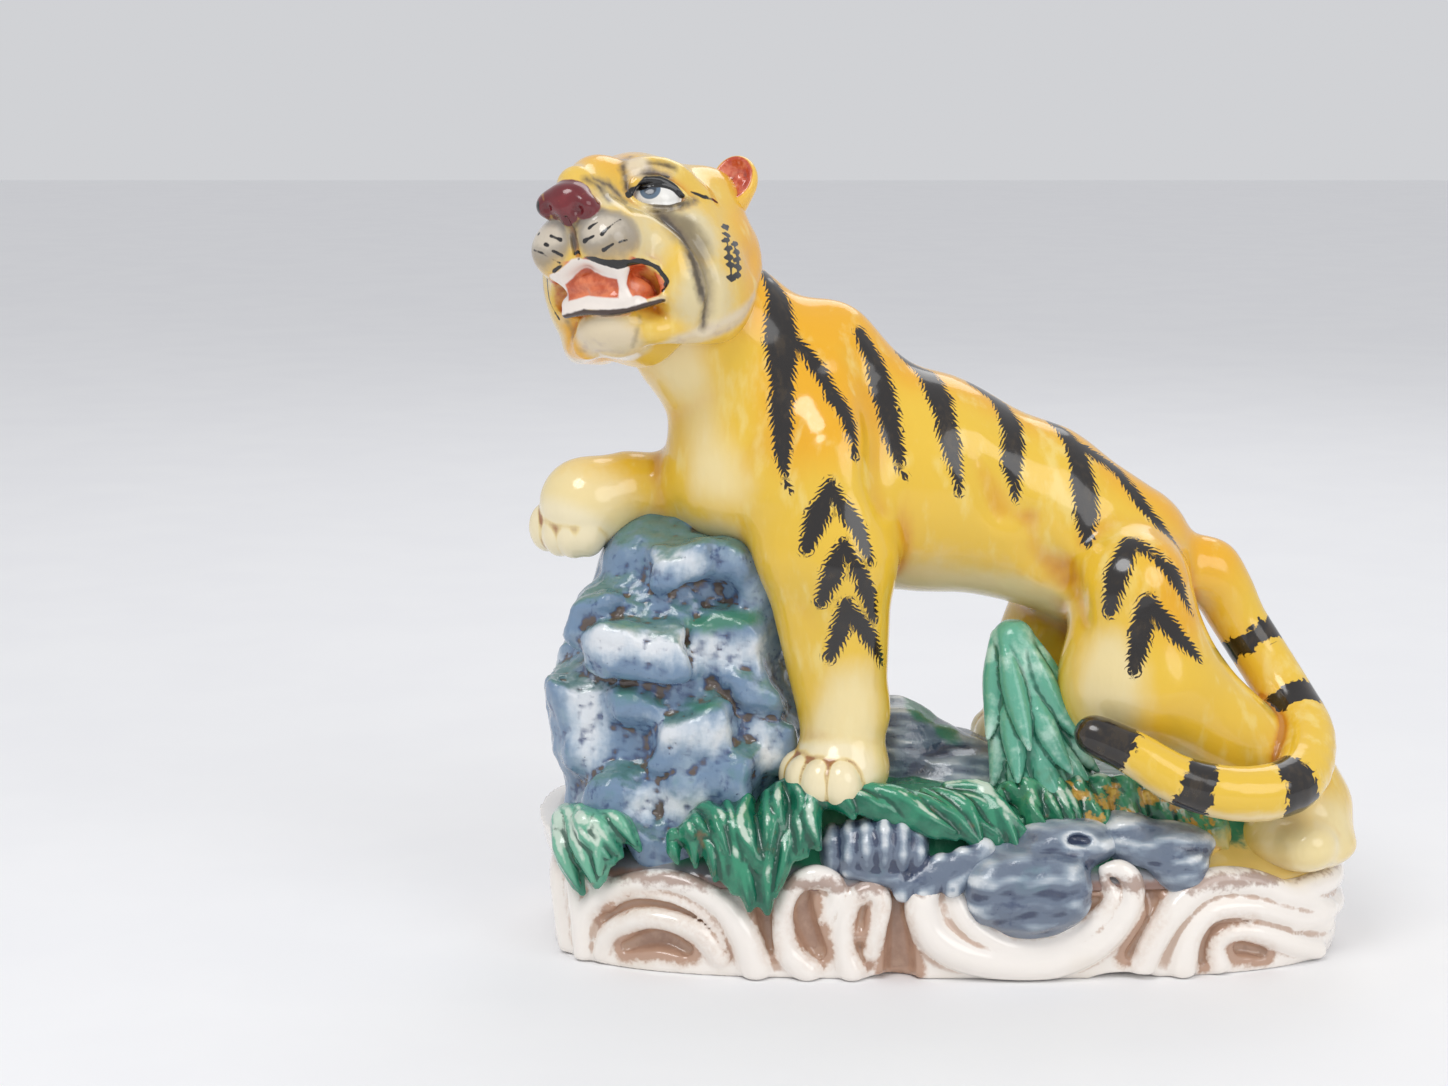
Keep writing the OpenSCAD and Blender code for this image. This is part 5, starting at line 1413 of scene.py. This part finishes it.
def face(glaze, grain, blot):
    """Everything that the painter put on the face."""
    fuzz = glaze.total((0.8, grain), (0.5, blot))
    glaze.mark((222, 208, 166), [(1, "cream"), (8, blot), (3, grain)], 5, -3, 0.85)
    haze = glaze.total((1, "haze_edge"), (5, blot), (2, grain))
    glaze.mark((100, 88, 68), [(1, haze)], 2.5, -4.5, 0.8)
    glaze.mark((226, 212, 186), [(1, "pale"), (4, blot)], 1.6, -1.6, 0.85)
    chin = glaze.meet(glaze.step(glaze.layer("pale"), 0.5, -1),
                      glaze.step(glaze.total((1, blot), (0.5, grain)), 0, 0.3))
    glaze.lay(rgb(190, 170, 160), chin, 0.6)
    # Grey-brown washes of the face, among them the painted shade beside the chin
    wash = glaze.total((1, "wash_edge"), (2.2, grain), (1.6, blot))
    glaze.mark((112, 96, 78), [(1, wash)], 1.9, -0.4, 0.6)
    glaze.mark((60, 52, 46), [(1, wash)], 0.4, -1.0, 0.8)
    mouth = glaze.step(glaze.total((1, "mouth"), (0.6, fuzz)), 0.25, -0.25)
    flesh = glaze.step(glaze.total((1, blot), (0.6, grain)), -0.1, 0.2)
    glaze.lay(glaze.blend(flesh, rgb(196, 82, 42), rgb(232, 130, 84)), mouth)
    glaze.mark((230, 188, 92), [(1, "pads"), (0.8, blot)], 0.9, 0.3)
    whisk = glaze.total((1, "whisk"), (3, blot))
    glaze.mark((206, 196, 180), [(1, whisk)], 1.8, -0.8, 0.95)
    # Painted shade: a grey ring along the edges of the whisker pads
    rim = glaze.calc("ABSOLUTE", glaze.total((1, "whisk"), (2, blot), (1, grain)))
    glaze.mark((92, 84, 76), [(1, rim)], 1.5, 0.2, 0.5)
    glaze.mark((78, 68, 62), [(1, "cleft_edge"), (1.2, fuzz)], 0.9, -0.6, 0.85)
    glaze.mark((244, 234, 224), [(1, "gum_edge"), (0.8, fuzz)], 0.35, -0.35)
    glaze.mark((66, 46, 38), [(1, "lip_edge"), (0.8, fuzz)], 0.3, -0.3)
    nose_edge = glaze.total((1, "nose"), (0.8, fuzz))
    leather = glaze.blend(glaze.step(blot, -0.2, 0.25), rgb(98, 22, 30), rgb(132, 40, 46))
    glaze.lay(leather, glaze.step(nose_edge, 0.9, 0.4))
    glaze.mark((236, 234, 228), [(1, "eye")], 0.55, 0.3)
    iris = glaze.layer("iris")
    glaze.mark((92, 112, 132), [(1, iris)], 3.5, 3.1)
    glaze.mark((38, 44, 54), [(1, iris)], 2.3, 1.7, 0.85)
    glaze.mark((22, 20, 20), [(1, "ink_edge"), (0.9, grain)], 0.22, -0.12)


def ear_paint():
    glaze = Glaze("ear_paint", rgb(244, 196, 74))
    blot, grain = glaze.noise(5, 3, 2), glaze.noise(1.6, 2, 4)
    cup = glaze.step(glaze.total((1, "cup"), (1.2, blot), (0.5, grain)), 1.3, 0.5)
    flesh = glaze.step(glaze.total((1, blot), (0.5, grain)), -0.12, 0.2)
    glaze.lay(glaze.blend(flesh, rgb(190, 70, 40), rgb(228, 134, 104)), cup)
    # Painted shade: dark red in the creases of the cup
    glaze.lay(rgb(136, 44, 26), glaze.meet(cup, glaze.step(glaze.layer("crease"), 0.05, 0.3)), 0.8)
    return glaze.fire(blot, 0.15)


def rock_paint(name, pale):
    """Blue and grey glaze, run and speckled; the crag also has worn faces and mossy ledges."""
    glaze = Glaze(name, rgb(106, 119, 138) if pale else rgb(116, 142, 170), 0.2)
    cloud, blot = glaze.noise(16, 3, 1), glaze.noise(6, 3, 2)
    speck, pit = glaze.noise(1.5, 2, 3), glaze.noise(2.6, 2, 4)
    crease, up = glaze.layer("crease"), glaze.layer("up")
    drip = glaze.noise(6, 4, 8, (0.4, 0.9, 1.5) if pale else (1.6, 1.6, 0.6))
    glaze.mark((156, 176, 192), [(1, cloud), (0.6, blot), (0.5, drip)], 0.02, 0.34, 0.8)
    sea = glaze.noise(11, 3, 6)
    glaze.mark((98, 144, 146), [(1, sea), (0.5, drip)], 0.08, 0.34, 0.35 if pale else 0.7)
    deep = (66, 80, 110) if pale else (56, 80, 124)
    glaze.mark(deep, [(1, blot), (0.4, speck), (-0.8, drip)], 0.1, 0.36, 0.85)
    if pale:
        stone_marks(glaze, blot, crease, up, drip)
    else:
        crag_marks(glaze, blot, speck, crease, up, drip)
    glaze.mark((38, 46, 76), [(1, pit), (0.6, speck)], 0.26, 0.34, 0.8)
    return glaze.fire(glaze.total((1, speck), (0.6, pit)), 0.2)


def stone_marks(glaze, blot, crease, up, drip):
    """White on the ribs, upper edges and streaks, partly as a painted highlight; painted shade as dark
    lines in the gaps; and a mossy patch.
    """
    ridge = glaze.total((-2, "fold"), (-2, crease), (0.5, up), (1.4, drip), (0.3, blot))
    glaze.mark((64, 76, 104), [(-1, drip), (0.4, blot)], 0.1, 0.34, 0.65)
    # Painted highlight: white on the ribs and upper faces, mixed with pale streaks of the glaze
    glaze.mark((164, 178, 191), [(1, ridge)], 0.5, 1.2, 0.7)
    glaze.mark((226, 230, 232), [(1, ridge)], 1.0, 1.75, 0.85)
    # Painted shade: dark lines in the gaps
    glaze.mark((54, 64, 90), [(1, crease), (-0.16, drip), (0.1, blot)], 0.015, 0.09, 0.9)
    glaze.mark((66, 132, 104), [(1, "moss"), (5, blot), (4, drip)], -0.6, -3, 0.9)


def crag_marks(glaze, blot, speck, crease, up, drip):
    """Worn white faces, runs of blue, green ledges, and painted shade: dark blue in the hollows and brown
    in the tightest creases.
    """
    glaze.mark((44, 64, 106), [(-1, drip), (0.6, blot), (0.3, speck)], 0.1, 0.36, 0.7)
    worn = glaze.total((1, "white_edge"), (7, blot), (1.6, speck), (8, drip))
    glaze.mark((192, 206, 218), [(1, worn)], 3.5, -1.5, 0.8)
    glaze.mark((230, 233, 236), [(1, worn)], 0.6, -4.5, 0.9)
    # Painted shade: dark blue in the hollows
    glaze.mark((48, 68, 112), [(1, crease), (0.16, blot), (0.1, drip)], 0.0, 0.16, 0.85)
    glaze.mark((84, 128, 118), [(1, up), (0.9, blot), (0.3, speck)], 0.4, 0.9, 0.8)
    moss = glaze.total((1, "green_edge"), (5, blot), (1.6, speck), (3, drip))
    glaze.mark((66, 132, 104), [(1, moss)], 2.6, -1.6, 0.9)
    # Painted shade: brown along the tightest creases
    crease_shade = glaze.total((1, crease), (0.24, glaze.noise(9, 3, 9)), (0.06, speck))
    glaze.mark((104, 84, 58), [(1, crease_shade)], 0.1, 0.2, 0.8)


def plinth_paint():
    glaze = Glaze("plinth_paint", rgb(250, 243, 235), 0.14, 0.7)
    cloud, blot, speck = glaze.noise(22, 2, 1), glaze.noise(4, 3, 2), glaze.noise(1.3, 2, 3)
    glaze.mark((238, 228, 212), [(1, cloud)], 0.0, 0.3, 0.5)
    crease = glaze.layer("crease")
    zone = glaze.total((1, "recess_edge"), (4.5, blot), (2.0, speck))
    low = glaze.total((1, "roll_edge"), (1.6, blot), (1.4, speck))
    glaze.lay(rgb(222, 200, 182), glaze.meet(glaze.step(zone, 4, 1), glaze.step(low, -0.6, 0.9)), 0.7)
    recess = glaze.meet(glaze.step(zone, 2.6, 1.0), glaze.step(low, 0.3, 0.9))
    glaze.lay(rgb(184, 146, 122), recess, 0.92)
    # Painted shade: darker brown in the corners of the recesses, and tan in every crease
    corner = glaze.step(glaze.total((1, crease), (0.3, blot)), 0.0, 0.24)
    glaze.lay(rgb(148, 110, 90), glaze.meet(recess, corner), 0.8)
    glaze.mark((196, 162, 138), [(1, crease), (0.16, blot), (0.1, speck)], 0.09, 0.24, 0.8)
    glaze.mark((190, 160, 136), [(1, speck), (0.5, blot)], 0.3, 0.4, 0.6)
    rim = glaze.total((1, "height"), (8, blot), (3, speck))
    glaze.lay(rgb(164, 132, 116), glaze.meet(glaze.step(rim, 27.5, 30), glaze.step(rim, 34, 31.5)), 0.8)
    return glaze.fire(cloud, 0.2)


def ground_paint():
    glaze = Glaze("ground_paint", rgb(54, 134, 100), 0.2)
    cloud, blot, speck = glaze.noise(18, 3, 1), glaze.noise(6, 3, 2), glaze.noise(1.6, 2, 3)
    streak = glaze.noise(5, 3, 8, (1.6, 0.5, 1))
    glaze.mark((104, 172, 138), [(1, streak), (0.5, cloud)], 0.05, 0.3, 0.8)
    glaze.mark((24, 92, 68), [(1, blot), (0.6, streak)], 0.12, 0.3, 0.7)
    glaze.mark((118, 104, 66), [(1, glaze.noise(13, 3, 5)), (0.4, speck)], 0.16, 0.3, 0.6)
    share = glaze.total((1, "share"), (0.12, cloud), (0.05, blot))
    glaze.mark((136, 128, 138), [(1, share)], 0.9, 0.96, 0.85)
    glaze.mark((146, 112, 98), [(1, share)], 0.975, 0.995, 0.9)
    run = glaze.total((1, "run"), (8, blot), (4, speck))
    glaze.mark((240, 206, 112), [(1, run)], 2.5, -2.5, 0.9)
    return glaze.fire(streak, 0.3)


def grass_paint(name, deep, light, flowers=False):
    """Each blade is dark along its edges and pale along its middle, with a painted highlight in white along
    its crest and painted shade in its creases.
    """
    glaze = Glaze(name, deep)
    cloud, blot, speck = glaze.noise(12, 2, 1), glaze.noise(4, 3, 2), glaze.noise(1.4, 2, 3)
    edge = glaze.layer("blade_edge")
    glaze.lay(light, glaze.step(glaze.total((1, cloud), (0.5, blot)), -0.1, 0.25), 0.7)
    glaze.lay(light, glaze.step(glaze.total((1, edge), (1.2, blot)), -0.3, -1.2), 0.7)
    # Painted highlight: white along the crest of some blades
    middle = glaze.total((1, edge), (2.2, blot), (0.8, speck), (4.5, cloud))
    glaze.mark((216, 230, 214), [(1, middle)], -1.4, -2.3, 0.8)
    # Painted shade: dark green in the creases between blades
    glaze.mark((12, 70, 54), [(1, "crease"), (0.08, blot)], 0.0, 0.1, 0.85)
    brown = glaze.total((1, glaze.noise(9, 3, 6)), (0.5, blot))
    glaze.lay(rgb(120, 92, 56), glaze.meet(glaze.step(brown, 0.12, 0.26), glaze.step(edge, -1, 0)), 0.7)
    if flowers:
        run = glaze.total((1, "run"), (9, blot), (3, speck))
        glaze.mark((214, 190, 104), [(1, run)], 2, -4, 0.8)
        bloom = glaze.total((1, "flower"), (9, blot), (4, speck))
        glaze.mark((210, 158, 62), [(1, bloom)], 0.2, -1.0, 0.85)
        glaze.mark((240, 204, 104), [(1, bloom)], -1.2, -2.6, 0.8)
    return glaze.fire(speck, 0.15)


def prop_paint():
    glaze = Glaze("prop_paint", rgb(100, 176, 150))
    cloud, blot, speck = glaze.noise(10, 3, 1), glaze.noise(3.4, 3, 2), glaze.noise(1.4, 2, 3)
    glaze.mark((182, 222, 204), [(1, cloud), (0.6, blot)], -0.04, 0.2, 0.85)
    # Painted shade in dark green in the creases, and a painted highlight in pale mint on the ridges
    glaze.mark((20, 96, 74), [(1, "crease"), (0.1, blot)], 0.0, 0.14, 0.9)
    glaze.mark((206, 234, 222), [(-1, "crease"), (0.5, blot), (0.4, cloud)], 0.12, 0.34, 0.8)
    glaze.lay(rgb(96, 110, 70), glaze.step(glaze.noise(12, 3, 5), 0.16, 0.3), 0.5)
    return glaze.fire(speck, 0.2)


def floor_paper():
    glaze = Glaze("floor_paper", rgb(245, 245, 246), 0.9, 0.0)
    glaze.lay(rgb(241, 241, 243), glaze.step(glaze.noise(60, 3, 1), -0.2, 0.2), 0.5)
    return glaze.fire()


yellow = tiger_paint("tiger_paint", False)
body.object(yellow, ["torso", "left_foreleg", "right_foreleg", "left_hind_leg", "right_hind_leg", "tail"],
            "glaze_yellow")
head.object(tiger_paint("face_paint", True), ["head"], "glaze_yellow")
red = ear_paint()
for node, skin in zip(("left_ear", "right_ear"), ears):
    skin.object(red, [node], "glaze_red")
crag.object(rock_paint("crag_paint", False), ["crag"], "glaze_blue")
plinth_nodes = ["plinth", "front_left_scroll", "ear_scrolls", "cradle_scroll", "front_right_scroll",
                "left_end_scroll", "right_end_scroll", "back_left_scroll", "back_middle_scroll",
                "back_right_scroll"]
plinth.object(plinth_paint(), plinth_nodes, "glaze_white")
grey = rock_paint("stone_paint", True)
for node, skin in stones.items():
    skin.object(grey, [node], "glaze_blue")
prop.object(prop_paint(), ["leafy_prop"], "glaze_green")
ground.object(ground_paint(), ["ground"], "glaze_green")
emerald = grass_paint("emerald_paint", rgb(18, 104, 78), rgb(58, 150, 114))
meadow = grass_paint("meadow_paint", rgb(34, 116, 84), rgb(84, 166, 124), True)
mint = grass_paint("mint_paint", rgb(48, 130, 104), rgb(120, 190, 158))
for node, paint_of in (("front_grass", emerald), ("left_grass", mint), ("right_grass", meadow)):
    tufts[node].object(paint_of, [node], "glaze_green")


# Studio: pale floor, soft lamps and the photograph's camera
SENSOR, FOCAL_PIXELS, PHOTO_PIXELS = 36, 2700, 1448
CAMERA_AT, CAMERA_TILT = (-0.072, -0.8642, 0.2817), 80
FLOOR_HALF = 6.0
LAMP_AIM = Vector((0, 0, 0.12))
AIR, AIR_STRENGTH = (0.86, 0.87, 0.9, 1), 0.74
lamps = (("key", (-0.5, -0.75, 1.4), 7.2, 0.7), ("fill", (0.8, -0.9, 0.75), 3.6, 0.9),
         ("back", (0.3, 1.0, 1.1), 2.2, 0.8))


def studio():
    scene = bpy.context.scene
    mesh = bpy.data.meshes.new("floor")
    corners = [(x * FLOOR_HALF, y * FLOOR_HALF, 0) for x, y in ((-1, -1), (1, -1), (1, 1), (-1, 1))]
    mesh.from_pydata(corners, [], [(0, 1, 2, 3)])
    floor = bpy.data.objects.new("floor", mesh)
    scene.collection.objects.link(floor)
    mesh.materials.append(floor_paper())
    world = bpy.data.worlds.new("studio")
    world.use_nodes = True
    background = world.node_tree.nodes["Background"]
    background.inputs["Color"].default_value = AIR
    background.inputs["Strength"].default_value = AIR_STRENGTH
    scene.world = world
    for name, place, power, width in lamps:
        lamp = bpy.data.lights.new(name, "AREA")
        lamp.energy = power
        lamp.shape = "DISK"
        lamp.size = width
        holder = bpy.data.objects.new(name, lamp)
        holder.location = place
        holder.rotation_euler = (LAMP_AIM - Vector(place)).to_track_quat("-Z", "Y").to_euler()
        scene.collection.objects.link(holder)
    lens = bpy.data.cameras.new("camera")
    lens.sensor_width = SENSOR
    lens.lens = SENSOR * FOCAL_PIXELS / PHOTO_PIXELS
    camera = bpy.data.objects.new("camera", lens)
    camera.location = CAMERA_AT
    camera.rotation_euler = (math.radians(CAMERA_TILT), 0, 0)
    scene.collection.objects.link(camera)
    scene.camera = camera
    scene.view_settings.view_transform = "Standard"


studio()
